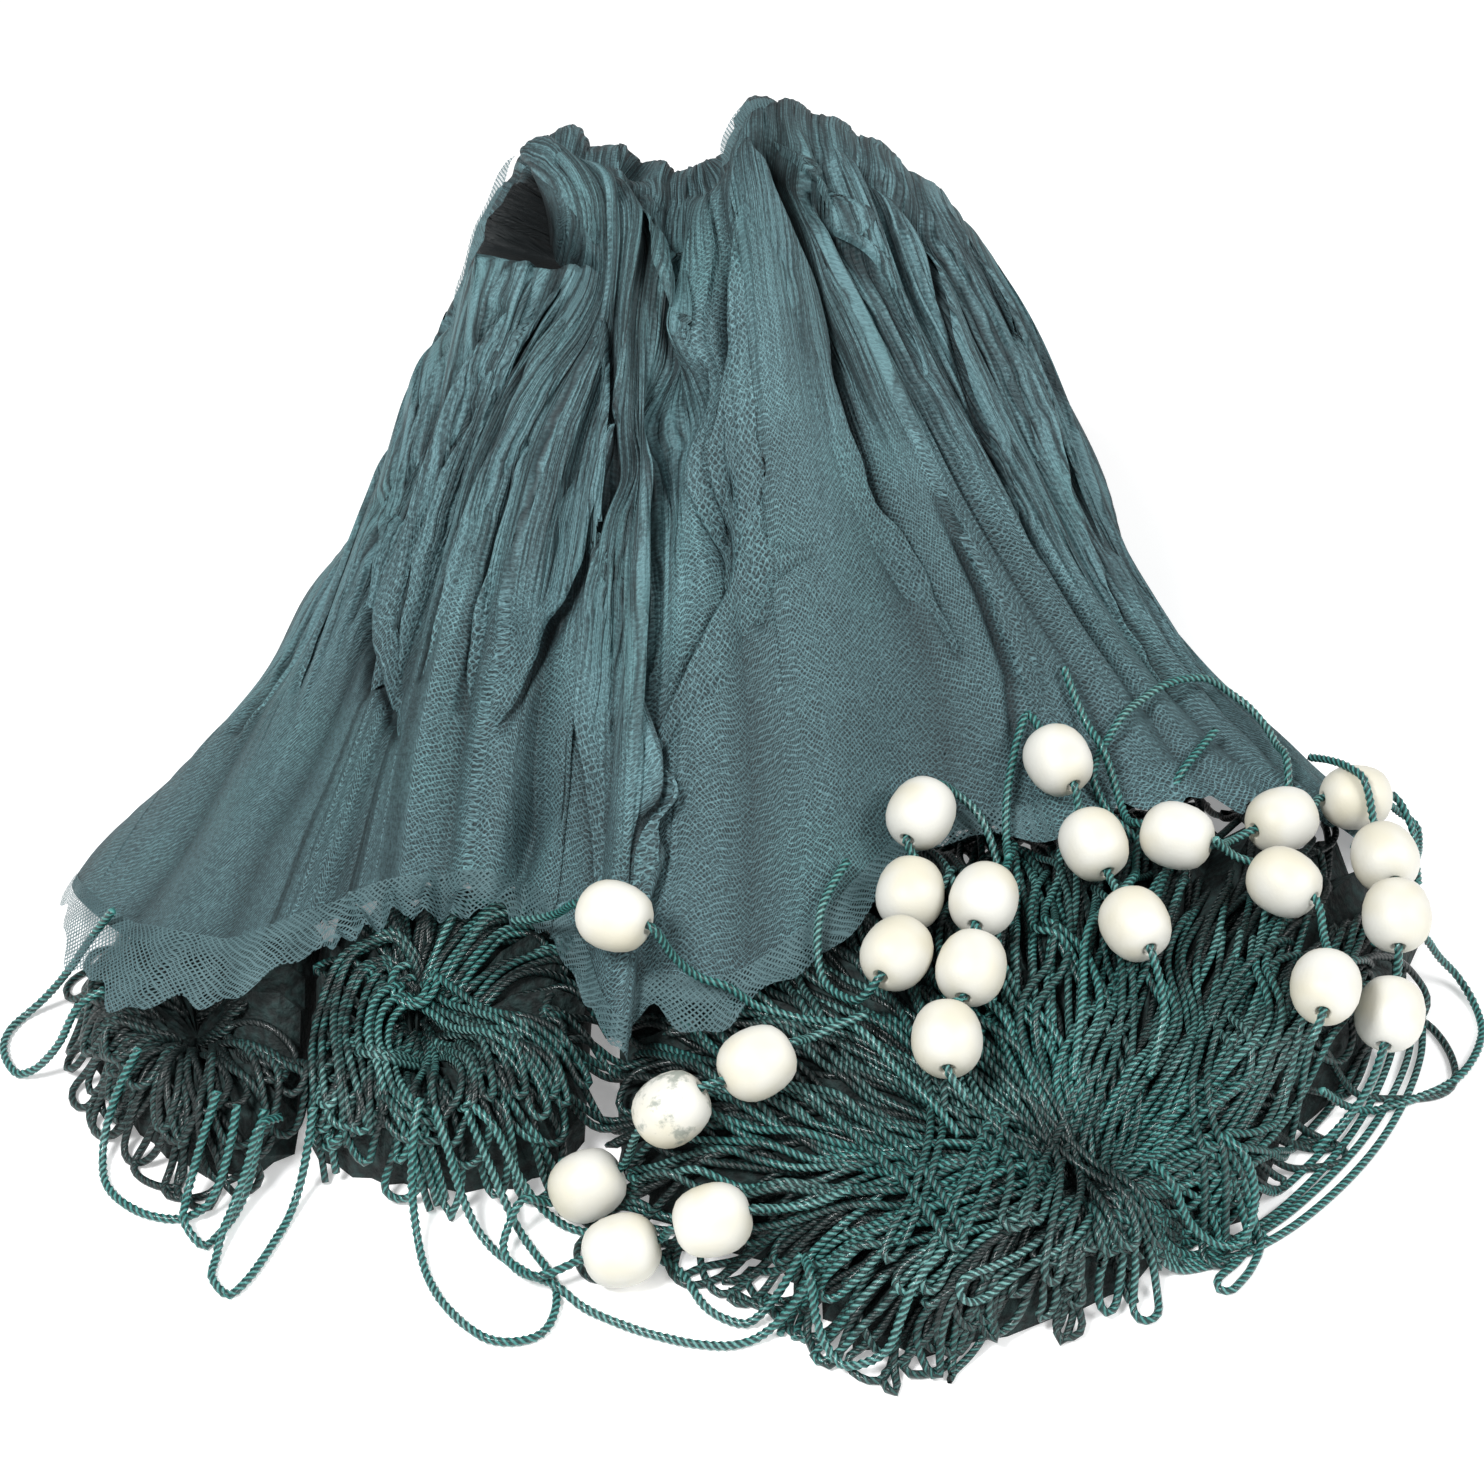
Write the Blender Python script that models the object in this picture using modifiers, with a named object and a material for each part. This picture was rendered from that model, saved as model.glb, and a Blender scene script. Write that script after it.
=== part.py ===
"""A fishing net heaped on the ground: gathered netting over bound hanks of rope, with floats on lines.

Frame: metres, +Z up, the ground at z = 0, the front of the heap towards -Y.
Tables below are in millimetres and degrees; share(u) runs across the netting from its left border
to its right one, and share(v) runs from its back hem (0) over the crest (CREST) to its front hem (1).
"""
import math

import bmesh
import bpy
import numpy as np
from mathutils import Vector
from mathutils.bvhtree import BVHTree

MM = 0.001

# ---------------------------------------------------------------- driving dimensions (mm)
ROPE_DIAMETER = 5.5
FLOAT_DIAMETER = 40.0
FLOAT_LENGTH = 42.0
FLOAT_BORE = 9.0
FLOAT_CLEARANCE = 1.5      # straight rope beyond each end of a float
ROPE_IN_BORE = 1.0         # how far above the bore's middle the rope runs, up against its top
NETTING_THICKNESS = 3.0
SKIN_GAP = 0.4             # clearance that touching pieces keep
CLOTH_GAP = 2.0            # clearance of draped netting over the ropes below it
HEAP_CENTRE = (8.0, 42.5)  # middle of the heap in the tables' own frame; it becomes the origin
CREST = 0.36               # share of the netting's length that lies behind the crest
# how far the netting's two slopes keep their direction at the crest and at the hems,
# as shares of their run and of their rise
FRONT_CREST_RUN = 0.28
FRONT_HEM_RUN = 0.34
FRONT_HEM_RISE = 0.20
BACK_CREST_RUN = 0.55
BACK_HEM_RUN = 0.12
BACK_HEM_RISE = 0.55

# ---------------------------------------------------------------- netting: the mound
# one row per station across the heap:
#  u,   back hem x, y,   crest x, y, z,     front hem x, y, z
STATIONS = [
    (0.00, -238, 392, -300, 200, 0, -424, 10, 0),
    (0.06, -212, 418, -290, 225, 60, -404, -60, 48),
    (0.13, -192, 408, -252, 240, 138, -355, -122, 76),
    (0.20, -162, 434, -222, 245, 205, -292, -136, 80),
    (0.28, -138, 422, -188, 250, 300, -215, -95, 82),
    (0.35, -102, 446, -137, 255, 395, -150, -88, 82),
    (0.42, -68, 434, -75, 255, 388, -105, -120, 80),
    (0.455, -46, 446, -50, 252, 372, -70, -205, 78),
    (0.49, -22, 452, -30, 250, 368, -58, -175, 80),
    (0.55, 14, 436, 6, 262, 412, -10, -175, 80),
    (0.62, 58, 450, 55, 262, 398, 45, -130, 88),
    (0.70, 98, 432, 110, 258, 366, 105, -60, 98),
    (0.78, 143, 442, 165, 252, 308, 180, -40, 100),
    (0.85, 168, 424, 208, 246, 225, 245, -5, 100),
    (0.91, 203, 430, 240, 238, 140, 310, 15, 90),
    (0.96, 218, 404, 268, 225, 62, 382, -5, 72),
    (1.00, 243, 400, 300, 205, 0, 435, 50, 0),
]

# ---------------------------------------------------------------- netting: the main pleats
# one row per pleat, left to right: u of its ridge at six places down the netting,
# then its height there; the ridges fan out of one gather under the left hood
PLEAT_PLACES = (0.00, CREST, 0.52, 0.68, 0.84, 1.00)
#   u: back, crest, upper, middle, lower, hem        height: back, crest, upper, middle, lower, hem
PLEATS = [
    (0.00, 0.00, 0.00, 0.00, 0.00, 0.00, 0, 0, 0, 0, 0, 0),
    (0.08, 0.12, 0.12, 0.10, 0.09, 0.08, 0, 10, 10, 8, 6, 2),
    (0.16, 0.24, 0.24, 0.20, 0.17, 0.15, 0, 14, 14, 12, 8, 4),
    (0.22, 0.31, 0.34, 0.285, 0.24, 0.22, 0, 16, 16, 16, 8, 6),
    (0.28, 0.35, 0.408, 0.335, 0.295, 0.285, 0, 14, 8, 14, 12, 6),
    (0.33, 0.385, 0.425, 0.385, 0.355, 0.345, 0, 12, 6, 14, 16, 10),
    (0.38, 0.42, 0.438, 0.425, 0.415, 0.41, 0, 14, 8, 14, 12, 8),
    (0.43, 0.455, 0.455, 0.46, 0.46, 0.455, 0, 12, 10, 14, 8, 6),
    (0.48, 0.485, 0.49, 0.505, 0.515, 0.515, 0, 12, 18, 14, 8, 4),
    (0.55, 0.555, 0.572, 0.60, 0.63, 0.635, 0, 22, 22, 18, 6, 3),
    (0.61, 0.585, 0.62, 0.705, 0.785, 0.80, 0, 12, 16, 12, 5, 3),
    (0.66, 0.625, 0.66, 0.755, 0.835, 0.86, 0, 14, 16, 14, 8, 3),
    (0.71, 0.67, 0.715, 0.80, 0.87, 0.90, 0, 16, 18, 14, 10, 3),
    (0.76, 0.725, 0.78, 0.85, 0.905, 0.93, 0, 16, 18, 14, 10, 3),
    (0.82, 0.785, 0.84, 0.895, 0.935, 0.955, 0, 14, 14, 12, 8, 2),
    (0.90, 0.86, 0.905, 0.94, 0.962, 0.975, 0, 10, 10, 8, 6, 0),
    (1.00, 1.00, 1.00, 1.00, 1.00, 1.00, 0, 0, 0, 0, 0, 0),
]
COLUMNS_PER_PLEAT = 4
ROWS = (0.0, 0.08, 0.17, 0.26, 0.32, 0.36, 0.395, 0.425, 0.455, 0.485, 0.515, 0.55, 0.60, 0.66, 0.72, 0.78,
        0.83, 0.88, 0.94, 1.0)

# the hood: a thick roll that comes over from the left peak and ends in the middle valley
HOOD_PATH = [(0.335, 0.35), (0.372, 0.43), (0.405, 0.475), (0.44, 0.525), (0.47, 0.565)]
HOOD_HALF_WIDTH = 16
HOOD_HEIGHT = 30
# dents pushed in square to the mound, and lumps where the depth is negative:
#  u, v, radius across, radius down, depth
DENTS = [
    (0.11, 0.74, 60, 60, -16),
    (0.21, 0.90, 45, 34, -8),
    (0.90, 0.70, 40, 70, -12),
    (0.24, 0.15, 55, 60, -14),
    (0.47, 0.10, 50, 45, -10),
    (0.66, 0.17, 60, 55, -14),
    (0.84, 0.10, 40, 50, -10),
    (0.36, 0.07, 30, 45, 8),
    (0.57, 0.14, 24, 70, 10),
    (0.76, 0.12, 22, 60, 8),
    (0.16, 0.46, 34, 60, 10),
    (0.14, 0.22, 30, 60, 9),
    (0.345, 0.480, 42, 30, 95),
    (0.395, 0.510, 28, 18, 50),
    (0.487, 0.605, 16, 44, 26),
    (0.530, 0.705, 14, 34, 20),
    (0.355, 0.800, 13, 22, 16),
    (0.372, 0.955, 9, 34, 16),
    (0.598, 0.470, 9, 50, 14),
    (0.692, 0.430, 9, 40, 16),
]
PLEAT_SINK = 0.35          # share of a pleat's height that lies below the mound's own surface
SLOPE_STEP = 0.004         # step in u and v over which the mound's slope is read


def through(places, values, at):
    """Read a smooth (Catmull-Rom) curve through table rows `values` at `places`."""
    places = np.asarray(places, float)
    values = np.asarray(values, float)
    at = np.asarray(at, float)
    last = len(places) - 1
    i = np.clip(np.searchsorted(places, at, side="right") - 1, 0, last - 1)
    step = (places[i + 1] - places[i])[..., None]
    t = ((at - places[i])[..., None]) / step

    def slope(k):
        before = np.clip(k - 1, 0, last)
        after = np.clip(k + 1, 0, last)
        return (values[after] - values[before]) / (places[after] - places[before])[..., None]

    return (values[i] * (2 * t**3 - 3 * t**2 + 1) + step * slope(i) * (t**3 - 2 * t**2 + t)
            + values[i + 1] * (3 * t**2 - 2 * t**3) + step * slope(i + 1) * (t**3 - t**2))


def bezier(p0, p1, p2, p3, t):
    t = t[..., None]
    return p0 * (1 - t)**3 + 3 * p1 * t * (1 - t)**2 + 3 * p2 * t**2 * (1 - t) + p3 * t**3


def mound(u, v):
    """Smooth form of the heap without its folds, in mm."""
    table = np.array(STATIONS, float)
    row = through(table[:, 0], table[:, 1:], u)
    back = np.concatenate([row[..., 0:2], 0 * row[..., :1]], -1)
    crest = row[..., 2:5]
    hem = row[..., 5:8]
    height = crest[..., 2:3]
    rise = np.array((0.0, 0.0, 1.0))

    run = (hem - crest) * (1, 1, 0)
    front = bezier(crest, crest + FRONT_CREST_RUN * run,
                   hem - FRONT_HEM_RUN * run + FRONT_HEM_RISE * (height - hem[..., 2:3]) * rise, hem,
                   np.clip((v - CREST) / (1 - CREST), 0, 1))
    run = (back - crest) * (1, 1, 0)
    rear = bezier(crest, crest + BACK_CREST_RUN * run,
                  back - BACK_HEM_RUN * run + BACK_HEM_RISE * height * rise, back,
                  np.clip((CREST - v) / CREST, 0, 1))
    return np.where((v >= CREST)[..., None], front, rear)


def unit(vectors):
    length = np.linalg.norm(vectors, axis=-1, keepdims=True)
    return vectors / np.maximum(length, 1e-9)


def outward(u, v):
    """Outward direction of the mound."""
    across = mound(np.clip(u + SLOPE_STEP, 0, 1), v) - mound(np.clip(u - SLOPE_STEP, 0, 1), v)
    down = mound(u, np.clip(v + SLOPE_STEP, 0, 1)) - mound(u, np.clip(v - SLOPE_STEP, 0, 1))
    return unit(np.cross(down, across))


def off_path(points, path):
    """Distance from each point to a polyline."""
    best = np.full(points.shape[:-1], 1e9)
    for a, b in zip(path[:-1], path[1:]):
        t = np.clip(((points - a) @ (b - a)) / ((b - a) @ (b - a)), 0, 1)
        best = np.minimum(best, np.linalg.norm(points - (a + t[..., None] * (b - a)), axis=-1))
    return best


def netting_row(v, pleat):
    """One row of the folded netting; whole numbers of `pleat` are ridges, halves are valleys."""
    table = np.array(PLEATS, float)
    places = len(PLEAT_PLACES)
    ridge_u = through(PLEAT_PLACES, table[:, :places].T, v)
    ridge_height = through(PLEAT_PLACES, table[:, places:].T, v)
    u, height = through(np.arange(len(table)), np.stack([ridge_u, ridge_height], -1), pleat).T
    u = np.clip(u, 0, 1)
    v = np.full(u.shape, v)
    body = mound(u, v)
    normal = outward(u, v)
    lift = np.clip(height, 0, None) * (np.abs(np.cos(math.pi * pleat)) - PLEAT_SINK)
    lift += HOOD_HEIGHT * np.exp(-(off_path(body, mound(*np.array(HOOD_PATH).T)) / HOOD_HALF_WIDTH)**2)
    side = unit(np.cross(normal, (0, 0, 1)))
    for dent_u, dent_v, across, down, depth in DENTS:
        offset = body - mound(np.array([dent_u]), np.array([dent_v]))
        x = (offset * side).sum(-1) / across
        y = (offset * np.cross(side, normal)).sum(-1) / down
        lift -= depth * np.exp(-(x**2 + y**2))
    return body + lift[..., None] * normal


# ---------------------------------------------------------------- ropes: the three bound heaps
# one row per bundle of turns, by direction from the tie: degrees, reach, height
LEFT_HEAP_TIE = (-322, -152)
LEFT_HEAP = [
    (0, 84, 78), (18, 94, 82), (36, 108, 84), (54, 118, 84), (72, 118, 84), (90, 116, 82), (108, 112, 78),
    (126, 102, 74), (143, 92, 70), (160, 80, 66), (178, 70, 64), (198, 62, 62), (220, 60, 60),
    (242, 64, 60), (262, 76, 60), (280, 92, 60), (296, 102, 62), (314, 100, 66), (334, 90, 72),
]
HANK_TIE = (-190, -182)
HANK = [
    (0, 122, 84), (15, 136, 88), (30, 150, 90), (45, 158, 90), (60, 160, 90), (74, 160, 90),
    (88, 160, 90), (102, 158, 90), (116, 150, 88), (130, 132, 86), (145, 110, 82), (162, 94, 78),
    (180, 84, 74), (200, 78, 70), (220, 74, 68), (240, 70, 68), (258, 68, 68), (276, 70, 70),
    (294, 80, 72), (312, 94, 75), (328, 108, 78), (344, 116, 82),
]
SHEAF_TIE = (213, -248)
SHEAF = [
    (20, 112, 60), (30, 190, 75), (37, 252, 88), (44, 318, 88), (51, 342, 87), (58, 350, 87),
    (66, 348, 90), (75, 334, 94), (85, 304, 94), (95, 290, 96), (105, 282, 96), (115, 284, 96),
    (125, 292, 94), (134, 306, 90), (142, 322, 88), (149, 340, 86), (156, 344, 84), (163, 336, 82),
    (170, 322, 78), (177, 306, 74), (184, 280, 70), (191, 236, 68), (199, 206, 68), (208, 200, 68),
    (216, 198, 66), (225, 172, 62), (236, 128, 58), (252, 92, 54), (272, 72, 50), (297, 50, 48),
    (322, 54, 48), (346, 82, 54),
]
LEFT_WALL = -255           # the planes, square to X, where the heaps lie against each other
MIDDLE_WALL = -86
# share of the reach, share of the height, of the rings from the tie to the foot
HEAP_RINGS = [(0.10, 0.66), (0.26, 0.84), (0.46, 1.00), (0.66, 0.98), (0.84, 0.80), (0.96, 0.46),
              (1.00, 0.14)]
BUNDLE_GROOVE = 0.82       # height of the groove between two bundles, as a share of theirs
BUNDLE_NOTCH = 0.95        # reach of that groove

# ---------------------------------------------------------------- ropes: free lines and loops
# waypoints x, y; FLOAT marks the middle of a float that is threaded there
FLOAT = "float"
LINES = {
    "line_hank": [(-134, -120), (-106, -136), (-72, -160, FLOAT), (-24, -172), (22, -180), (60, -198),
                  (94, -234), (120, -262)],
    "line_ring": [(70, -196), (38, -214), (8, -236, FLOAT), (-39, -252, FLOAT), (-87, -262, FLOAT),
                  (-122, -274), (-132, -298), (-110, -320), (-66, -308, FLOAT), (-16, -306, FLOAT),
                  (20, -298), (58, -298)],
    "line_column": [(154, -100), (152, -66), (130, -38), (106, -66, FLOAT), (98, -115, FLOAT),
                    (88, -163, FLOAT), (66, -186), (46, -162), (46, -124), (62, -92)],
    "line_beside": [(164, -56), (154, -90), (140, -124, FLOAT), (130, -172, FLOAT), (114, -218, FLOAT),
                    (124, -254)],
    "line_right": [(158, -80), (160, -36), (174, 8), (190, -26, FLOAT), (208, -78, FLOAT),
                   (226, -140, FLOAT), (240, -182), (230, -216)],
    "line_top": [(198, 40), (226, -16), (258, -72, FLOAT), (292, -66), (326, -44, FLOAT),
                 (376, -18, FLOAT), (412, -26), (410, -64)],
    "line_edge": [(352, 12), (376, -28), (384, -72, FLOAT), (382, -121, FLOAT), (374, -170, FLOAT),
                  (360, -200), (330, -222)],
    "line_inner": [(278, -84), (318, -102, FLOAT), (336, -140), (330, -182, FLOAT), (318, -216)],
}
LOOPS = {
    "loop_far_left": [(-372, -104), (-408, -102), (-436, -112), (-444, -136), (-430, -160), (-402, -160),
                      (-372, -148)],
    "loop_left_round": [(-346, -190), (-366, -214), (-362, -246), (-334, -268), (-300, -266),
                        (-284, -230)],
    "loop_left_long": [(-296, -222), (-310, -250), (-312, -278), (-300, -290), (-286, -268), (-270, -228)],
    "loop_left_low": [(-262, -226), (-286, -272), (-292, -312), (-281, -324), (-266, -300), (-242, -228)],
    "loop_big": [(-180, -234), (-184, -270), (-168, -322), (-136, -354), (-108, -350), (-102, -320),
                 (-124, -282), (-154, -238)],
    "run_outer": [(-172, -238), (-148, -282), (-102, -322), (-56, -348), (-6, -358), (38, -340)],
    "run_inner": [(-150, -238), (-114, -268), (-70, -288), (-36, -306), (-20, -332), (4, -344), (32, -322)],
    "loop_tip": [(34, -326), (40, -356), (56, -376), (76, -372), (92, -350), (108, -334)],
    "loop_corner": [(226, -270), (246, -294), (274, -298), (284, -276), (266, -254)],
    "loop_right": [(372, -122), (412, -88), (440, -84), (448, -122), (426, -162), (386, -184), (334, -200)],
    "arc_upper": [(338, -26), (336, 34), (312, 70), (276, 62), (236, 26), (214, -20), (240, -46)],
    "arc_over": [(296, 34), (272, 2), (242, -44), (232, -88), (202, -130), (194, -178), (186, -222)],
    "loop_right_small": [(398, -50), (430, 8), (438, 44), (412, 34), (376, -34)],
}
ROUTE_STEP = 16.0          # spacing of a rope's points
ROPE_SAG = 4.5             # how much lower than straight a rope can hang over each step
RELAX_ROUNDS = 80          # rounds in which a rope finds its hanging form
LIFT_ROUNDS = 60           # rounds in which it is lifted off what it still cuts
LIFT_STEP = 0.6
DRAPE_REACH = 14.0         # how far round itself the netting looks for a rope to lie on
BALL_RAYS = 32             # directions in which a float looks for what it rests on
BALL_SHARES = (0.12, 0.25, 0.38, 0.5, 0.62, 0.74, 0.85, 0.94, 0.99)  # and shares of its radius
ROPE_AHEAD = (-0.55, -0.25, 0.0, 0.25, 0.55)                  # where a rope looks, in steps along it
ROPE_ASIDE = (-1.0, -0.7, -0.35, 0.0, 0.35, 0.7, 1.0)         # and in shares of its radius across it
ROPE_UNDERSIDE = (-0.92, -0.7, -0.38, 0.0, 0.38, 0.7, 0.92)   # and where its clear height is read
END_DROP = (1.0, 1.0, 0.5) # share of their clear height that a rope's last three points come down
FLOAT_SIDES = 10


# ---------------------------------------------------------------- scene and materials
def clear_scene():
    for thing in list(bpy.data.objects):
        bpy.data.objects.remove(thing, do_unlink=True)


def collection(name):
    made = bpy.data.collections.new(name)
    bpy.context.scene.collection.children.link(made)
    return made


def material(name, colour, roughness):
    made = bpy.data.materials.new(name)
    made.use_nodes = True
    shader = made.node_tree.nodes["Principled BSDF"]
    shader.inputs["Base Color"].default_value = (*colour, 1.0)
    shader.inputs["Roughness"].default_value = roughness
    shader.inputs["Metallic"].default_value = 0.0
    made.diffuse_color = (*colour, 1.0)
    return made


def finish(thing, name, group, finish_material):
    """Name an object, give it its material and put it in its collection."""
    thing.name = name
    thing.data.name = name
    thing.data.materials.clear()
    thing.data.materials.append(finish_material)
    for owner in list(thing.users_collection):
        owner.objects.unlink(thing)
    group.objects.link(thing)
    return thing


def evaluated_mesh(thing):
    bpy.context.view_layer.update()
    graph = bpy.context.evaluated_depsgraph_get()
    return bpy.data.meshes.new_from_object(thing.evaluated_get(graph), depsgraph=graph)


class Ground:
    """The ground and everything laid on it so far, as something that ropes and floats rest on."""

    def __init__(self):
        self.trees = []

    @staticmethod
    def surface(thing):
        """Search tree of an object's faces in the world, and the middle of each face."""
        mesh = evaluated_mesh(thing)
        work = bmesh.new()
        work.from_mesh(mesh)
        work.transform(thing.matrix_world)
        tree = BVHTree.FromBMesh(work)
        middles = [face.calc_center_median() for face in work.faces]
        work.free()
        bpy.data.meshes.remove(mesh)
        return tree, middles

    def add(self, thing):
        self.trees.append(self.surface(thing)[0])

    def clashes(self, thing):
        """Middles of the faces of an object that cut through something laid before."""
        tree, middles = self.surface(thing)
        return [middles[own] for other in self.trees for own, _ in tree.overlap(other)]

    def top(self, x, y):
        """Height of the highest surface at a place, in mm."""
        best = 0.0
        start = Vector((x * MM, y * MM, 1.0))
        for tree in self.trees:
            hit = tree.ray_cast(start, Vector((0, 0, -1)))[0]
            if hit is not None:
                best = max(best, hit.z / MM)
        return best

    def under_ball(self, x, y, radius):
        """Height of the middle of a ball that rests at a place."""
        best = self.top(x, y) + radius
        for share in BALL_SHARES:
            for turn in range(BALL_RAYS):
                angle = math.tau * turn / BALL_RAYS
                reach = share * radius
                top = self.top(x + reach * math.cos(angle), y + reach * math.sin(angle))
                best = max(best, top + math.sqrt(radius**2 - reach**2))
        return best

    def under_rope(self, x, y, along, radius):
        """Height of the middle of a rope that runs along a direction over a place."""
        best = 0.0
        for ahead in ROPE_AHEAD:
            for share in ROPE_ASIDE:
                aside = share * radius
                px = x + ahead * ROUTE_STEP * along[0] - aside * along[1]
                py = y + ahead * ROUTE_STEP * along[1] + aside * along[0]
                best = max(best, self.top(px, py) + radius * math.sqrt(1 - share**2))
        return best

    def below_rope(self, x, y, z, along, radius):
        """Clear height under a rope whose middle is at a place."""
        least = math.inf
        for share in ROPE_UNDERSIDE:
            px = x - share * radius * along[1]
            py = y + share * radius * along[0]
            least = min(least, z - radius * math.sqrt(1 - share**2) - self.top(px, py))
        return least


# ---------------------------------------------------------------- sub-parts
def rope_heap(name, tie, bundles, walls, group, rope):
    """A bound heap of rope: bundles of turns that fan out from its tie, flat where it lies.

    It ends half a SKIN_GAP short of the planes in `walls`, where it lies against the next heap.
    """
    lowest_x = walls[0] + SKIN_GAP / 2
    highest_x = walls[1] - SKIN_GAP / 2
    columns = 2 * len(bundles)
    bpy.ops.mesh.primitive_uv_sphere_add(segments=columns, ring_count=len(HEAP_RINGS) + 2, radius=1.0)
    heap = bpy.context.object
    angles = [row[0] for row in bundles] + [bundles[0][0] + 360]
    for vertex in heap.data.vertices:
        polar = math.acos(max(-1.0, min(1.0, vertex.co.z))) / math.pi * (len(HEAP_RINGS) + 2)
        ring = round(polar)
        if ring == 0:
            centre_height = min(row[2] for row in bundles) * HEAP_RINGS[0][1]
            vertex.co = Vector((tie[0], tie[1], centre_height)) * MM
            continue
        if ring == len(HEAP_RINGS) + 2:
            vertex.co = Vector((tie[0], tie[1], 0)) * MM
            continue
        column = round(math.atan2(vertex.co.y, vertex.co.x) % math.tau / math.tau * columns) % columns
        bundle = bundles[column // 2]
        after = bundles[(column // 2 + 1) % len(bundles)]
        if column % 2:
            angle = (angles[column // 2] + angles[column // 2 + 1]) / 2
            reach = BUNDLE_NOTCH * (bundle[1] + after[1]) / 2
            height = BUNDLE_GROOVE * (bundle[2] + after[2]) / 2
        else:
            angle, reach, height = bundle
        share, rise = HEAP_RINGS[min(ring, len(HEAP_RINGS)) - 1]
        if ring == len(HEAP_RINGS) + 1:
            share, rise = 0.97, 0.0
        turn = math.radians(angle)
        x = min(max(tie[0] + share * reach * math.cos(turn), lowest_x), highest_x)
        vertex.co = Vector((x, tie[1] + share * reach * math.sin(turn), rise * height)) * MM
    return finish(heap, name, group, rope)


def make_netting(ground, group, netting_material):
    """The gathered netting: one sheet of pleats over the crest, its front hem on the rope heaps."""
    pleats = len(PLEATS) - 1
    columns = pleats * COLUMNS_PER_PLEAT
    bpy.ops.mesh.primitive_grid_add(x_subdivisions=columns, y_subdivisions=len(ROWS) - 1, size=1.0)
    sheet = bpy.context.object
    pleat = np.arange(columns + 1) / COLUMNS_PER_PLEAT
    surface = [netting_row(v, pleat) for v in ROWS]
    for vertex in sheet.data.vertices:
        column = round((vertex.co.x + 0.5) * columns)
        row = round((vertex.co.y + 0.5) * (len(ROWS) - 1))
        x, y, z = surface[row][column]
        border = column in (0, columns) or row == 0
        carried = 0.0 if border else ground.under_ball(x, y, DRAPE_REACH) - DRAPE_REACH
        clear = carried + CLOTH_GAP + NETTING_THICKNESS if carried > 0 else 0.0
        vertex.co = Vector((x, y, 0.0 if border else max(z, clear, 2 * NETTING_THICKNESS))) * MM
    shell = sheet.modifiers.new("thickness", "SOLIDIFY")
    shell.thickness = NETTING_THICKNESS * MM
    shell.offset = -1
    bpy.ops.object.modifier_apply(modifier=shell.name)
    for vertex in sheet.data.vertices:
        vertex.co.z = max(vertex.co.z, 0.0)
    return finish(sheet, "netting", group, netting_material)


def float_mesh(white):
    """Egg-shaped float, bored through along its own X axis: a turned profile."""
    bore = FLOAT_BORE / 2
    radius = FLOAT_DIAMETER / 2
    half = FLOAT_LENGTH / 2
    #  distance from the axis, place along it, from one end of the bore round the outside to the other
    profile = [(bore, half), (0.50 * radius, 0.93 * half), (0.90 * radius, 0.48 * half),
               (radius, -0.08 * half), (0.84 * radius, -0.60 * half), (0.45 * radius, -0.93 * half),
               (bore, -half)]
    mesh = bpy.data.meshes.new("float_profile")
    count = len(profile)
    edges = [(k, (k + 1) % count) for k in range(count)]
    mesh.from_pydata([(r * MM, 0, z * MM) for r, z in profile], edges, [])
    turned = bpy.data.objects.new("float_profile", mesh)
    bpy.context.scene.collection.objects.link(turned)
    screw = turned.modifiers.new("turn", "SCREW")
    screw.steps = screw.render_steps = FLOAT_SIDES
    screw.use_merge_vertices = True
    screw.merge_threshold = 0.00001
    made = evaluated_mesh(turned)
    made.transform(Vector((1, 0, 0)).rotation_difference(Vector((0, 0, 1))).inverted().to_matrix().to_4x4())
    made.name = "float"
    made.materials.append(white)
    bpy.data.objects.remove(turned, do_unlink=True)
    return made


def smooth_route(points, straight):
    """Points about ROUTE_STEP apart on a smooth curve; the stretches in `straight` stay straight."""
    points = np.array(points, float)
    chord = np.concatenate([[0], np.cumsum(np.linalg.norm(np.diff(points, axis=0), axis=1))])
    places = [0.0]
    for k in range(len(points) - 1):
        count = 1 if k in straight else max(1, round((chord[k + 1] - chord[k]) / ROUTE_STEP))
        places += list(np.linspace(chord[k], chord[k + 1], count + 1)[1:])
    return np.array(places), through(chord, points, np.array(places))


def rope_curve(name, flat, height, thickness):
    """A rope as a bevelled poly spline through its points."""
    curve = bpy.data.curves.new(name, "CURVE")
    curve.dimensions = "3D"
    curve.bevel_depth = thickness / 2 * MM
    curve.bevel_resolution = 2
    curve.render_resolution_u = 0
    curve.use_fill_caps = True
    line = curve.splines.new("POLY")
    line.points.add(len(flat) - 1)
    for point, (x, y), z in zip(line.points, flat, height):
        point.co = (x * MM, y * MM, z * MM, 1)
    thing = bpy.data.objects.new(name, curve)
    bpy.context.scene.collection.objects.link(thing)
    return thing


def hang(rest, held):
    """Heights of a limp rope over what it rests on; `held` gives the points fixed by floats."""
    radius = ROPE_DIAMETER / 2
    height = rest.copy()
    for _ in range(RELAX_ROUNDS):
        level = (np.concatenate([height[:1], height[:-1]]) + np.concatenate([height[1:], height[-1:]])) / 2
        slant = np.gradient(height) / ROUTE_STEP
        height = np.maximum(rest + radius * (np.sqrt(1 + slant**2) - 1), level - ROPE_SAG)
        for k, pinned in held.items():
            height[k] = pinned
    return height


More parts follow.
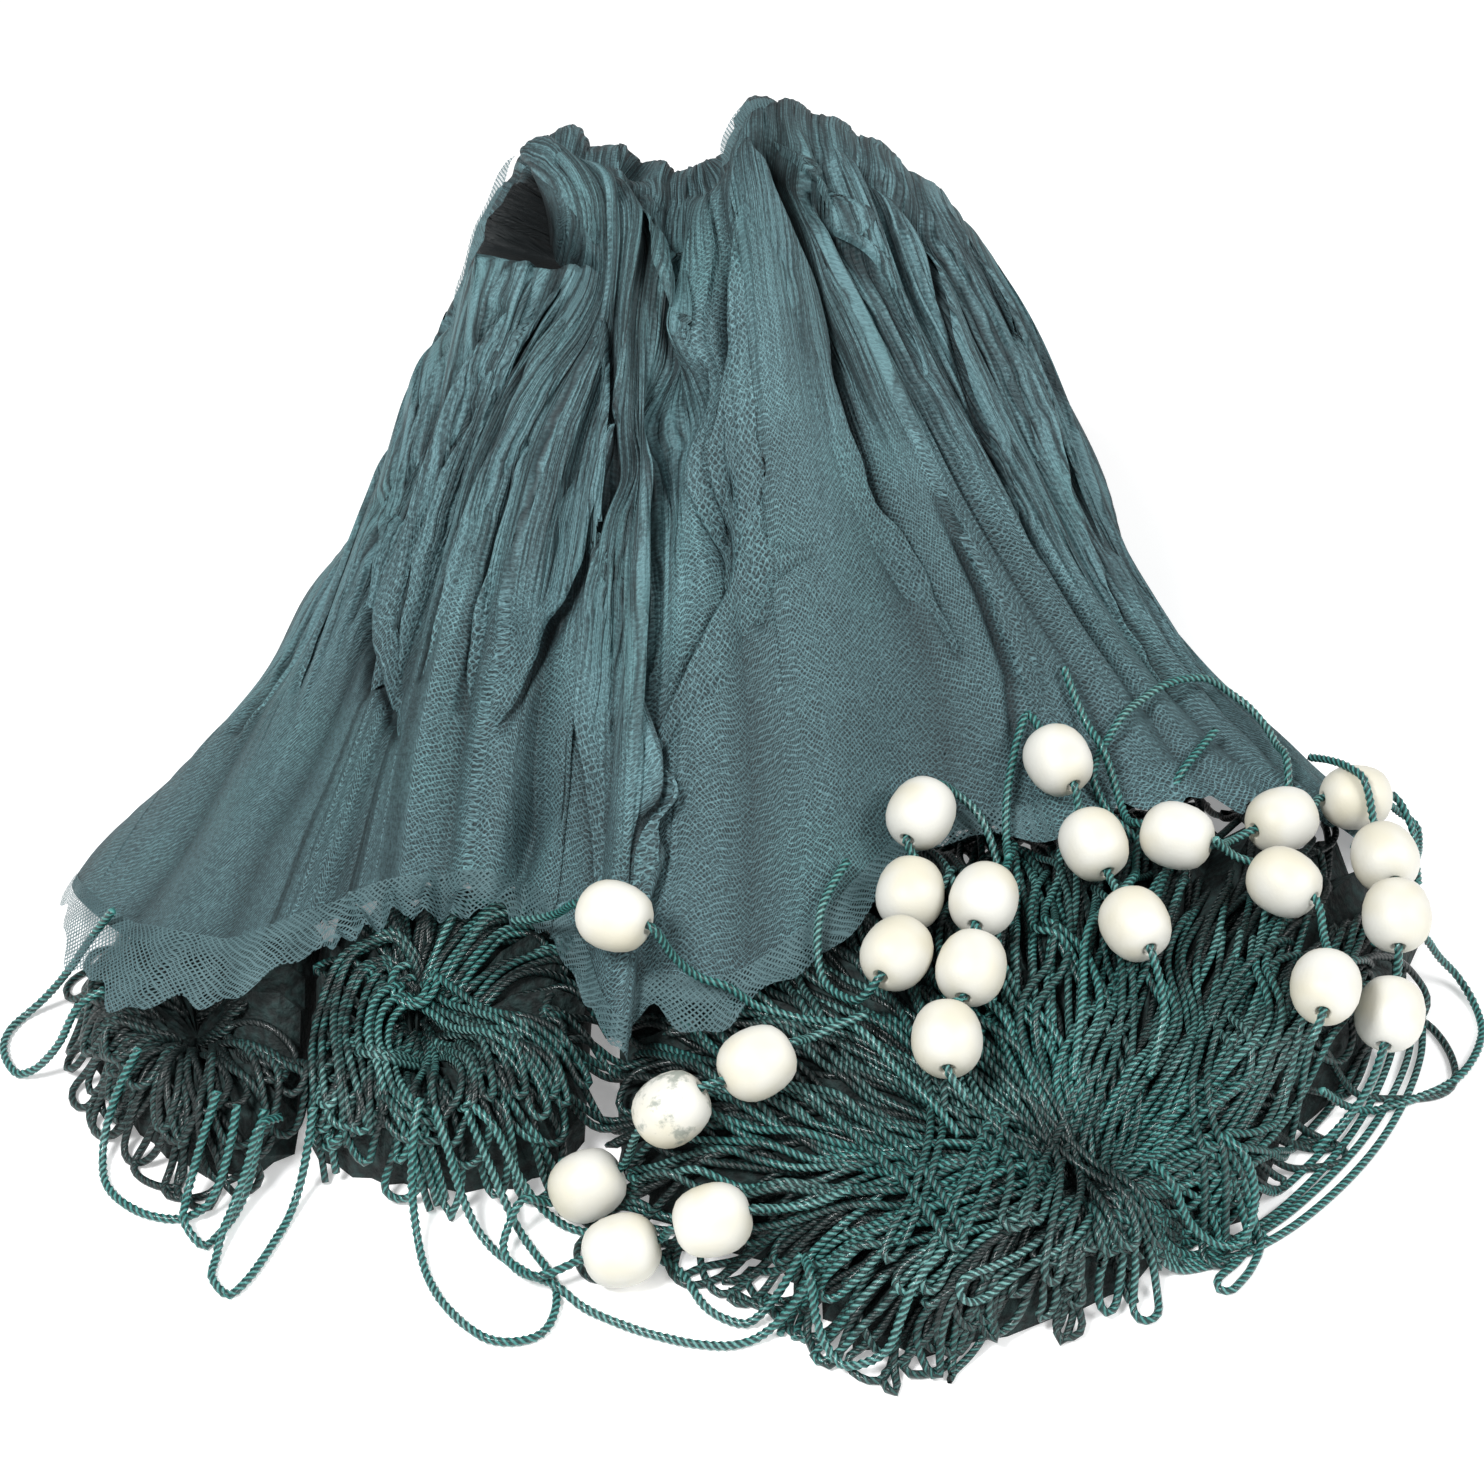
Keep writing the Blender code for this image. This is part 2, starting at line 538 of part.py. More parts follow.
def lay_rope(name, route, ground, group, rope, shape):
    """Lay one rope over what is there, with its floats, and add all of it to the ground."""
    radius = ROPE_DIAMETER / 2
    reach = FLOAT_LENGTH / 2 + FLOAT_CLEARANCE
    ball_radius = max(FLOAT_DIAMETER, FLOAT_LENGTH) / 2
    spots = {k: np.array((*row[:2], ground.under_ball(*row[:2], ball_radius) + SKIN_GAP))
             for k, row in enumerate(route) if FLOAT in row}
    marks, straight, pins, balls = [], set(), {}, []
    for k, row in enumerate(route):
        if k not in spots:
            marks.append(row)
            continue
        spot = spots[k]
        before = spots.get(k - 1, np.array((*route[k - 1][:2], spot[2])))
        after = spots.get(k + 1, np.array((*route[k + 1][:2], spot[2])))
        heading = unit(unit(after - spot) + unit(spot - before))
        ball = bpy.data.objects.new(f"float_{name.split('_', 1)[1]}_{len(balls) + 1}", shape)
        ball.location = Vector(spot) * MM
        ball.rotation_euler = Vector(heading).to_track_quat("X", "Z").to_euler()
        group.objects.link(ball)
        balls.append(ball)
        straight |= {len(marks), len(marks) + 1}
        for end in (-1, 0, 1):
            end_spot = spot + end * reach * heading
            pins[len(marks)] = end_spot[2] + ROPE_IN_BORE
            marks.append(tuple(end_spot[:2]))
    places, flat = smooth_route(marks, straight)
    chord = np.concatenate([[0], np.cumsum(np.linalg.norm(np.diff(np.array(marks, float), axis=0), axis=1))])
    along = unit(np.gradient(flat, axis=0))
    rest = np.array([ground.under_rope(x, y, t, radius) for (x, y), t in zip(flat, along)]) + SKIN_GAP
    held = {int(np.argmin(np.abs(places - chord[mark]))): height for mark, height in pins.items()}
    height = hang(rest, held)
    for end in (slice(0, 3), slice(-1, -4, -1)):
        clear = min(ground.below_rope(x, y, z, t, radius)
                    for (x, y), z, t in zip(flat[end], height[end], along[end]))
        rest[end] -= np.array(END_DROP) * max(clear - SKIN_GAP, 0)
    for ball in balls:
        ground.add(ball)
    for _ in range(LIFT_ROUNDS):
        trial = rope_curve(name, flat, hang(rest, held), ROPE_DIAMETER + SKIN_GAP / 2)
        clashes = ground.clashes(trial)
        bpy.data.objects.remove(trial, do_unlink=True)
        if not clashes:
            break
        for k in {int(np.argmin(np.hypot(*(flat - (spot.x / MM, spot.y / MM)).T))) for spot in clashes}:
            rest[k] += LIFT_STEP
    line = rope_curve(name, flat, hang(rest, held), ROPE_DIAMETER)
    ground.add(finish(line, name, group, rope))


def main():
    clear_scene()
    group = collection("fishing_net")
    teal_netting = material("netting_twine", (0.08, 0.14, 0.155), 0.8)
    green_rope = material("laid_rope", (0.03, 0.09, 0.085), 0.55)
    white_foam = material("white_float", (0.80, 0.79, 0.70), 0.5)

    ground = Ground()
    for name, tie, bundles, walls in (("rope_heap_left", LEFT_HEAP_TIE, LEFT_HEAP, (-math.inf, LEFT_WALL)),
                                      ("rope_hank", HANK_TIE, HANK, (LEFT_WALL, MIDDLE_WALL)),
                                      ("rope_sheaf", SHEAF_TIE, SHEAF, (MIDDLE_WALL, math.inf))):
        ground.add(rope_heap(name, tie, bundles, walls, group, green_rope))
    ground.add(make_netting(ground, group, teal_netting))
    shape = float_mesh(white_foam)
    for name, route in {**LOOPS, **LINES}.items():
        lay_rope(name, route, ground, group, green_rope, shape)
    for thing in group.objects:
        thing.location -= Vector((*HEAP_CENTRE, 0)) * MM


main()
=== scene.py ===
# %% [markdown]
# A fishing net heaped on the ground. Soft gear is many layers of one thin thing: twine netting gathered
# into pleats, and rope in bound turns. This lesson dresses a plain model of such a heap, which gives
# each piece its place. The ropes, floats and netting below are finer pieces in the same places.

# %% Load the frame and note its size
import math

import bpy
import numpy as np
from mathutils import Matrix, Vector
from mathutils.bvhtree import BVHTree


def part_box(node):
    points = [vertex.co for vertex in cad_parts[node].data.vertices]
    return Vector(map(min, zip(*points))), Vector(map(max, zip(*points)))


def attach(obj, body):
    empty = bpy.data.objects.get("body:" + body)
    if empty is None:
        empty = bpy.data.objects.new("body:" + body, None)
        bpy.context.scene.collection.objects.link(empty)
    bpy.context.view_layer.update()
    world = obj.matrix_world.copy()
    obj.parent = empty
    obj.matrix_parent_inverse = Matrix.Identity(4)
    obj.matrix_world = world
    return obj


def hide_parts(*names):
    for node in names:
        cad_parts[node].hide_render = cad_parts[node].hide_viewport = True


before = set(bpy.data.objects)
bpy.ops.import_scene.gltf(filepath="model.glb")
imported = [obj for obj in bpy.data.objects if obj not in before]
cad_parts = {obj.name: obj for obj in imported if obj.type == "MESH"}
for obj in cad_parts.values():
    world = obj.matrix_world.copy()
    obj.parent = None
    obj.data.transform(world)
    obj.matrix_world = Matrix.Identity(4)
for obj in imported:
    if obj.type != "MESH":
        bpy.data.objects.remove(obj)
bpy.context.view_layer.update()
bpy.ops.object.select_all(action="DESELECT")
MM = 0.001

# %% [markdown]
# The camera looks down at the heap from the front. A long lens keeps the heap's proportions as the eye
# reads them from a few steps away.

# %% Camera
AIM = Vector((-0.008, -0.0705, 0.15))
ELEVATION = math.radians(40)
DISTANCE = 1.6
LENS = 65                  # mm, on a film 36 mm wide

bpy.ops.object.camera_add()
camera = bpy.context.object
camera.name = "view_camera"
camera.data.lens = LENS
camera.data.sensor_width = 36
camera.location = AIM + DISTANCE * Vector((0, -math.cos(ELEVATION), math.sin(ELEVATION)))
camera.rotation_euler = (AIM - camera.location).to_track_quat("-Z", "Y").to_euler()
bpy.context.scene.camera = camera
print("camera at", [round(x, 3) for x in camera.location])

# %% [markdown]
# Dark, matt twine needs a lot of even light, and its folds need one side brighter than the other. A white
# sky fills the folds, a large soft lamp at the upper left gives each pleat a light and a dark flank, and a
# weaker one from the right keeps the far side open. Large lamps have soft shadows, as in a studio.

# %% Floor, sky and lamps
SKY_STRENGTH = 0.50
scene = bpy.context.scene
scene.view_settings.view_transform = "Standard"

bpy.ops.mesh.primitive_plane_add(size=30)
floor = bpy.context.object
floor.name = "studio_floor"

sky = bpy.data.worlds.new("studio_sky")
scene.world = sky
sky.use_nodes = True
sky.node_tree.nodes["Background"].inputs["Color"].default_value = (1.0, 1.0, 1.0, 1.0)
sky.node_tree.nodes["Background"].inputs["Strength"].default_value = SKY_STRENGTH


def soft_lamp(name, place, size, watts):
    """A square soft lamp that points at the middle of the heap."""
    bpy.ops.object.light_add(type="AREA", location=place)
    lamp = bpy.context.object
    lamp.name = name
    lamp.data.size = size
    lamp.data.energy = watts
    lamp.rotation_euler = (Vector((0, 0, 0.1)) - lamp.location).to_track_quat("-Z", "Y").to_euler()


soft_lamp("key_lamp", (-1.0, -1.1, 2.1), 0.6, 60)
soft_lamp("fill_lamp", (1.7, -0.8, 1.8), 1.0, 36)

# %% [markdown]
# Materials are node graphs, and writing their sums as Python reads better than linking boxes. One small
# class holds a socket: plus, minus, times and the rest add Math nodes, and node() adds any other node.

# %% Shader sums as Python
class Shade:
    """One output socket of a material's node tree."""

    def __init__(self, tree, socket):
        self.tree = tree
        self.socket = socket

    def math(self, operation, *others, swap=False):
        """A Math node of this value and others, which stands last if they are swapped."""
        values = [*others, self] if swap else [self, *others]
        return node(self.tree, "ShaderNodeMath", {"operation": operation}, dict(enumerate(values)))

    def __add__(self, other):
        return self.math("ADD", other)

    def __sub__(self, other):
        return self.math("SUBTRACT", other)

    def __rsub__(self, other):
        return self.math("SUBTRACT", other, swap=True)

    def __mul__(self, other):
        return self.math("MULTIPLY", other)

    __radd__ = __add__
    __rmul__ = __mul__

    def cosine(self):
        return self.math("COSINE")

    def fraction(self):
        return self.math("FRACT")

    def size(self):
        return self.math("ABSOLUTE")

    def larger(self, other):
        return self.math("MAXIMUM", other)

    def smaller(self, other):
        return self.math("MINIMUM", other)

    def between(self, low, high):
        """0 below low, 1 above high, smooth between them."""
        return node(self.tree, "ShaderNodeMapRange", {"interpolation_type": "SMOOTHSTEP"},
                    {"Value": self, "From Min": low, "From Max": high})


def node(tree, kind, settings, values, output=0):
    """Add a node: its settings first, then a value or a link for each named or numbered input."""
    made = tree.nodes.new(kind)
    for name, value in settings.items():
        setattr(made, name, value)
    for name, value in values.items():
        if isinstance(value, Shade):
            tree.links.new(value.socket, made.inputs[name])
        else:
            made.inputs[name].default_value = value
    return Shade(tree, made.outputs[output])


def mixed(tree, share, low, high):
    """A colour between two colours."""
    colours = {6: low if isinstance(low, Shade) else (*low, 1.0),
               7: high if isinstance(high, Shade) else (*high, 1.0)}
    return node(tree, "ShaderNodeMix", {"data_type": "RGBA"}, {0: share, **colours}, output=2)


def noise(tree, place, scale, detail=2.0, roughness=0.5):
    """Soft random values from 0 to 1."""
    return node(tree, "ShaderNodeTexNoise", {}, {"Vector": place, "Scale": scale, "Detail": detail,
                                                "Roughness": roughness})


def attribute(tree, name):
    """A value that the mesh carries at its vertices."""
    return node(tree, "ShaderNodeAttribute", {"attribute_name": name}, {}, output=2)


def split_uv(tree, layer):
    """The two numbers of a UV map."""
    whole = node(tree, "ShaderNodeUVMap", {"uv_map": layer}, {})
    split = tree.nodes.new("ShaderNodeSeparateXYZ")
    tree.links.new(whole.socket, split.inputs[0])
    return Shade(tree, split.outputs[0]), Shade(tree, split.outputs[1])


def new_material(name, roughness):
    """An empty Principled material, its tree and its Object coordinates in metres."""
    made = bpy.data.materials.new(name)
    made.use_nodes = True
    tree = made.node_tree
    shader = tree.nodes["Principled BSDF"]
    shader.inputs["Roughness"].default_value = roughness
    shader.inputs["Metallic"].default_value = 0.0
    return made, tree, shader, node(tree, "ShaderNodeTexCoord", {}, {}, output=3)


def link(shader, name, value):
    """Feed a value to one of the shader's inputs."""
    value.tree.links.new(value.socket, shader.inputs[name])


def bump(shader, height, depth, strength=1.0):
    """Raise the surface by height x depth metres."""
    link(shader, "Normal", node(height.tree, "ShaderNodeBump", {},
                                {"Height": height, "Distance": depth, "Strength": strength}))


print("shader sums ready")

# %% [markdown]
# The floor is matt paper. A little light of its own keeps it pale round the heap, so its shadow stays soft.

# %% Pale floor
floor_paper, tree, shader, place = new_material("floor_paper", 0.9)
link(shader, "Base Color", mixed(tree, noise(tree, place, 3.0), (0.86, 0.86, 0.86), (0.9, 0.9, 0.9)))
link(shader, "Emission Color", noise(tree, place, 2.0).between(0.0, 1.0) * 0.04 + 0.96)
shader.inputs["Emission Strength"].default_value = 0.28
floor.data.materials.append(floor_paper)
print("floor:", floor_paper.name)

# %% [markdown]
# The netting's form is known from a few stations across the heap: where its back hem, its crest and its
# front hem lie. Smooth curves through them give the mound, and a second table gives the main pleats,
# which fan out of the gather under the left peak. Each place on the netting has two coordinates: u runs
# from its left end to its right end, and v from its back hem over the crest to its front hem.

# %% Tables of the mound and its main pleats (mm)
HEAP_CENTRE = (8.0, 42.5)  # of the tables' frame: the origin of the model's frame
CREST = 0.36
# u,   back hem x, y,   crest x, y, z,     front hem x, y, z
STATIONS = np.array([
    (0.00, -238, 392, -300, 200, 0, -424, 10, 0),
    (0.06, -212, 418, -290, 225, 60, -404, -60, 48),
    (0.13, -192, 408, -252, 240, 138, -355, -122, 76),
    (0.20, -162, 434, -222, 245, 205, -292, -136, 80),
    (0.28, -138, 422, -188, 250, 300, -215, -95, 82),
    (0.35, -102, 446, -137, 255, 395, -150, -88, 82),
    (0.42, -68, 434, -75, 255, 388, -105, -120, 80),
    (0.455, -46, 446, -50, 252, 372, -70, -205, 78),
    (0.49, -22, 452, -30, 250, 368, -58, -175, 80),
    (0.55, 14, 436, 6, 262, 412, -10, -175, 80),
    (0.62, 58, 450, 55, 262, 398, 45, -130, 88),
    (0.70, 98, 432, 110, 258, 366, 105, -60, 98),
    (0.78, 143, 442, 165, 252, 308, 180, -40, 100),
    (0.85, 168, 424, 208, 246, 225, 245, -5, 100),
    (0.91, 203, 430, 240, 238, 140, 310, 15, 90),
    (0.96, 218, 404, 268, 225, 62, 382, -5, 72),
    (1.00, 243, 400, 300, 205, 0, 435, 50, 0)], float)
PLEAT_PLACES = (0.00, CREST, 0.52, 0.68, 0.84, 1.00)
# u of each ridge at those places: back, crest, upper, middle, lower, hem; then its height there
PLEATS = np.array([
    (0.00, 0.00, 0.00, 0.00, 0.00, 0.00, 0, 0, 0, 0, 0, 0),
    (0.08, 0.12, 0.12, 0.10, 0.09, 0.08, 0, 10, 10, 8, 6, 2),
    (0.16, 0.24, 0.24, 0.20, 0.17, 0.15, 0, 14, 14, 12, 8, 4),
    (0.22, 0.31, 0.34, 0.285, 0.24, 0.22, 0, 16, 16, 16, 8, 6),
    (0.28, 0.35, 0.408, 0.335, 0.295, 0.285, 0, 14, 8, 14, 12, 6),
    (0.33, 0.385, 0.425, 0.385, 0.355, 0.345, 0, 12, 6, 14, 16, 10),
    (0.38, 0.42, 0.438, 0.425, 0.415, 0.41, 0, 14, 8, 14, 12, 8),
    (0.43, 0.455, 0.455, 0.46, 0.46, 0.455, 0, 12, 10, 14, 8, 6),
    (0.48, 0.485, 0.49, 0.505, 0.515, 0.515, 0, 12, 18, 14, 8, 4),
    (0.55, 0.555, 0.572, 0.60, 0.63, 0.635, 0, 22, 22, 18, 6, 3),
    (0.61, 0.585, 0.62, 0.705, 0.785, 0.80, 0, 12, 16, 12, 5, 3),
    (0.66, 0.625, 0.66, 0.755, 0.835, 0.86, 0, 14, 16, 14, 8, 3),
    (0.71, 0.67, 0.715, 0.80, 0.87, 0.90, 0, 16, 18, 14, 10, 3),
    (0.76, 0.725, 0.78, 0.85, 0.905, 0.93, 0, 16, 18, 14, 10, 3),
    (0.82, 0.785, 0.84, 0.895, 0.935, 0.955, 0, 14, 14, 12, 8, 2),
    (0.90, 0.86, 0.905, 0.94, 0.962, 0.975, 0, 10, 10, 8, 6, 0),
    (1.00, 1.00, 1.00, 1.00, 1.00, 1.00, 0, 0, 0, 0, 0, 0)], float)
HOOD_PATH = np.array([(0.358, 0.362), (0.385, 0.410), (0.410, 0.450), (0.435, 0.485), (0.465, 0.520),
                      (0.490, 0.550)])
HOOD_HALF_WIDTH = 20
HOOD_HEIGHT = 22
# corners (u, v) of the hollow under the hood, its depth, and the corners of its painted shade
HOLLOW = np.array([(0.349, 0.380), (0.322, 0.455), (0.330, 0.500), (0.368, 0.528), (0.420, 0.517)])
HOLLOW_DEPTH = 75
HOLLOW_RIM = 7
HOLLOW_PAINTED_SHADE = np.array([(0.345, 0.372), (0.308, 0.430), (0.302, 0.470), (0.322, 0.503), (0.372, 0.530),
                        (0.425, 0.519)])
# dents (or lumps, where the depth is negative): u, v, radius across, radius down, depth
DENTS = [
    (0.11, 0.74, 60, 60, -16), (0.21, 0.90, 45, 34, -8), (0.90, 0.70, 40, 70, -12),
    (0.24, 0.15, 55, 60, -14), (0.47, 0.10, 50, 45, -10), (0.66, 0.17, 60, 55, -14),
    (0.84, 0.10, 40, 50, -10), (0.36, 0.07, 30, 45, 8), (0.57, 0.14, 24, 70, 10),
    (0.76, 0.12, 22, 60, 8), (0.16, 0.46, 34, 60, 10), (0.14, 0.22, 30, 60, 9),
    (0.487, 0.605, 16, 44, 26), (0.075, 0.66, 75, 60, 20), (0.04, 0.88, 60, 40, -14),
    (0.93, 0.60, 60, 80, 18), (0.30, 0.40, 30, 70, 14), (0.398, 0.35, 34, 60, 12),
    (0.530, 0.705, 14, 34, 20), (0.355, 0.800, 13, 22, 16), (0.372, 0.955, 9, 34, 16),
    (0.598, 0.470, 9, 50, 14), (0.692, 0.430, 9, 40, 16)]
PLEAT_SINK = 0.35          # share of a pleat's height that lies below the mound
# lapped folds: side that the cloth lies on (1 right, -1 left), its width, how far its free edge stands off,
# half width of the dark crease beside it and the crease's depth (mm), then u, v along the edge
LAPS = [
    (1, 34, 9, 7, 12, [(0.352, 0.372), (0.357, 0.415), (0.375, 0.462), (0.398, 0.494), (0.410, 0.503)]),
    (1, 24, 8, 6, 8, [(0.447, 0.376), (0.440, 0.42), (0.445, 0.464), (0.458, 0.51), (0.480, 0.545),
                      (0.503, 0.575)]),
    (-1, 30, 9, 8, 14, [(0.553, 0.405), (0.575, 0.488), (0.603, 0.55), (0.620, 0.612), (0.640, 0.66),
                        (0.662, 0.71), (0.690, 0.77)]),
    (1, 22, 6, 4, 9, [(0.537, 0.48), (0.540, 0.576), (0.542, 0.618), (0.547, 0.66), (0.558, 0.70), (0.575, 0.76)]),
    (1, 20, 6, 5, 9, [(0.570, 0.400), (0.585, 0.43), (0.618, 0.475), (0.645, 0.505), (0.668, 0.54), (0.70, 0.60)]),
    (1, 22, 5, 4, 8, [(0.708, 0.46), (0.722, 0.53), (0.740, 0.58), (0.762, 0.64), (0.79, 0.72)]),
    (1, 18, 5, 3, 9, [(0.538, 0.56), (0.533, 0.63), (0.534, 0.67), (0.550, 0.71), (0.560, 0.76)]),
    (1, 14, 4, 3, 8, [(0.515, 0.58), (0.509, 0.644), (0.520, 0.68), (0.540, 0.73)]),
    (1, 26, 6, 5, 10, [(0.345, 0.56), (0.318, 0.60), (0.290, 0.635), (0.268, 0.67), (0.255, 0.72), (0.25, 0.78)]),
    (1, 20, 5, 4, 10, [(0.325, 0.62), (0.302, 0.66), (0.284, 0.70), (0.276, 0.74), (0.272, 0.80)]),
    (1, 22, 5, 5, 10, [(0.243, 0.58), (0.243, 0.66), (0.248, 0.72), (0.262, 0.78), (0.284, 0.84)]),
    (-1, 30, 7, 6, 11, [(0.430, 0.62), (0.427, 0.66), (0.418, 0.71), (0.400, 0.76), (0.372, 0.81), (0.345, 0.86)]),
    (1, 24, 5, 4, 8, [(0.428, 0.70), (0.427, 0.77), (0.425, 0.83), (0.432, 0.89), (0.436, 0.97)]),
    (1, 30, 6, 4, 9, [(0.566, 0.68), (0.545, 0.74), (0.512, 0.78), (0.480, 0.83), (0.462, 0.90)]),
    (-1, 18, 4, 4, 8, [(0.420, 0.55), (0.426, 0.60), (0.427, 0.66), (0.425, 0.72)]),
    (1, 18, 5, 3, 9, [(0.395, 0.555), (0.372, 0.61), (0.345, 0.67), (0.318, 0.73), (0.300, 0.80)]),
    (-1, 20, 5, 4, 9, [(0.385, 0.545), (0.355, 0.59), (0.326, 0.64), (0.300, 0.70)]),
    (1, 26, 5, 4, 7, [(0.72, 0.70), (0.750, 0.77), (0.770, 0.84), (0.772, 0.92)]),
    (-1, 22, 5, 4, 8, [(0.775, 0.48), (0.800, 0.58), (0.835, 0.68), (0.868, 0.77), (0.89, 0.84)]),
    (1, 20, 5, 4, 8, [(0.740, 0.42), (0.775, 0.50), (0.815, 0.58), (0.850, 0.67)]),
    (1, 20, 4, 4, 8, [(0.190, 0.44), (0.170, 0.54), (0.150, 0.64), (0.132, 0.74)]),
    (-1, 20, 4, 3, 8, [(0.232, 0.46), (0.215, 0.54), (0.200, 0.62), (0.185, 0.72)]),
    (1, 18, 4, 3, 8, [(0.29, 0.48), (0.272, 0.54), (0.25, 0.60), (0.225, 0.68)]),
    (1, 18, 4, 3, 8, [(0.365, 0.66), (0.345, 0.72), (0.330, 0.78), (0.322, 0.84)]),
    (-1, 20, 4, 3, 7, [(0.63, 0.64), (0.66, 0.70), (0.70, 0.76), (0.73, 0.83)])]
print("stations:", len(STATIONS), "pleats:", len(PLEATS) - 1)

# %% [markdown]
# A few stations don't make a smooth heap by themselves. A curve through each column of the table gives
# the values between them, and from crest to hem the cloth hangs in a Bezier curve: it leaves the crest
# level, falls, and runs out towards the ground.

# %% Smooth curves through the tables
# how far the curve's inner points lie from its ends, as shares of its run, and how high, of its fall
FRONT_CREST_RUN, FRONT_HEM_RUN, FRONT_HEM_RISE = 0.28, 0.34, 0.20
BACK_CREST_RUN, BACK_HEM_RUN, BACK_HEM_RISE = 0.55, 0.12, 0.55
SLOPE_STEP = 0.004         # step in u and v over which the mound's slope is read


def through(places, values, at):
    """Read a smooth (Catmull-Rom) curve through table rows `values` at `places`."""
    places = np.asarray(places, float)
    values = np.asarray(values, float)
    at = np.asarray(at, float)
    last = len(places) - 1
    i = np.clip(np.searchsorted(places, at, side="right") - 1, 0, last - 1)
    step = (places[i + 1] - places[i])[..., None]
    t = (at - places[i])[..., None] / step

    def slope(k):
        before = np.clip(k - 1, 0, last)
        after = np.clip(k + 1, 0, last)
        return (values[after] - values[before]) / (places[after] - places[before])[..., None]

    return (values[i] * (2 * t**3 - 3 * t**2 + 1) + step * slope(i) * (t**3 - 2 * t**2 + t)
            + values[i + 1] * (3 * t**2 - 2 * t**3) + step * slope(i + 1) * (t**3 - t**2))


def bezier(p0, p1, p2, p3, t):
    """Places on a Bezier curve."""
    t = t[..., None]
    return p0 * (1 - t)**3 + 3 * p1 * t * (1 - t)**2 + 3 * p2 * t**2 * (1 - t) + p3 * t**3


def lengths(vectors):
    """Length of each vector."""
    return np.linalg.norm(vectors, axis=-1)


def unit(vectors):
    """Vectors of length 1."""
    return vectors / np.maximum(lengths(vectors)[..., None], 1e-9)


def mound(u, v):
    """Smooth form of the heap without its folds, in mm."""
    row = through(STATIONS[:, 0], STATIONS[:, 1:], u)
    back = np.concatenate([row[..., 0:2], 0 * row[..., :1]], -1)
    crest, hem = row[..., 2:5], row[..., 5:8]
    rise = np.array((0.0, 0.0, 1.0))
    run = (hem - crest) * (1, 1, 0)
    front = bezier(crest, crest + FRONT_CREST_RUN * run,
                   hem - FRONT_HEM_RUN * run + FRONT_HEM_RISE * (crest[..., 2:] - hem[..., 2:]) * rise,
                   hem, np.clip((v - CREST) / (1 - CREST), 0, 1))
    run = (back - crest) * (1, 1, 0)
    rear = bezier(crest, crest + BACK_CREST_RUN * run,
                  back - BACK_HEM_RUN * run + BACK_HEM_RISE * crest[..., 2:] * rise,
                  back, np.clip((CREST - v) / CREST, 0, 1))
    return np.where((v >= CREST)[..., None], front, rear)


def mound_axes(u, v):
    """Outward and rightward directions of the mound."""
    step = SLOPE_STEP
    across = mound(np.clip(u + step, 0, 1), v) - mound(np.clip(u - step, 0, 1), v)
    down = mound(u, np.clip(v + step, 0, 1)) - mound(u, np.clip(v - step, 0, 1))
    return unit(np.cross(down, across)), unit(across)


def off_path(points, path):
    """Distance from each point to a polyline."""
    best = np.full(points.shape[:-1], np.inf)
    for a, b in zip(path[:-1], path[1:]):
        t = np.clip(((points - a) @ (b - a)) / ((b - a) @ (b - a)), 0, 1)
        best = np.minimum(best, lengths(points - (a + t[..., None] * (b - a))))
    return best


print("mound at the middle of its crest:", mound(np.array([0.5]), np.array([CREST]))[0].round(0))

# %% [markdown]
# Gathered netting falls in two sizes of fold. The main pleats carry it, and between them it is crimped
# into ridges a few millimetres wide, round on top and sharp in the valley, because cloth that has
# nowhere to go folds on itself. So each fine fold moves sideways as well as up, which makes its crest
# broad and its valley narrow. The crimp is strong in the gather and runs out in the loose skirt.

# %% How the netting is crimped
FOLDS_PER_PLEAT = 7
CRIMP = np.array([(0.00, 0.5), (0.20, 0.8), (0.36, 1.0), (0.58, 1.0), (0.70, 0.62), (0.80, 0.26), (0.90, 0.12),
                  (1.00, 0.10)])                       # v and strength
# places with more or less crimp: pleat, v, radius in pleats, radius in v, change
CRIMP_SPOTS = [(8.9, 0.56, 0.75, 0.16, -0.72), (9.6, 0.74, 1.5, 0.10, -0.5), (2.0, 0.84, 2.2, 0.10, -0.3),
               (5.0, 0.72, 1.6, 0.10, 0.35), (6.8, 0.78, 1.0, 0.12, 0.45), (12.5, 0.66, 1.6, 0.14, 0.3),
               (7.6, 0.47, 0.35, 0.08, -0.4)]
KNIFE_TOP = 0.70           # where the top of a knife pleat lies in its width


def crimp_at(pleat, v):
    """Strength of the crimp at pleat counts along the row v."""
    crimp = np.interp(v, *CRIMP.T)
    for spot_pleat, spot_v, wide, long, change in CRIMP_SPOTS:
        crimp = crimp + change * np.exp(-((pleat - spot_pleat) / wide)**2 - ((v - spot_v) / long)**2)
    return np.clip(crimp, 0.06, 1.25)


def wander(pleat, v, seed):
    """A smooth, uneven value between about -1 and 1, the same on every run."""
    a, b, c = math.sin(seed * 12.9) * 3, math.sin(seed * 78.2) * 3, math.sin(seed * 37.7) * 3
    return (0.45 * np.sin(1.3 * pleat + 9 * v + a) + 0.3 * np.sin(2.9 * pleat - 17 * v + b)
            + 0.25 * np.sin(6.1 * pleat + 29 * v + c) * np.cos(1.7 * pleat + 5 * v))


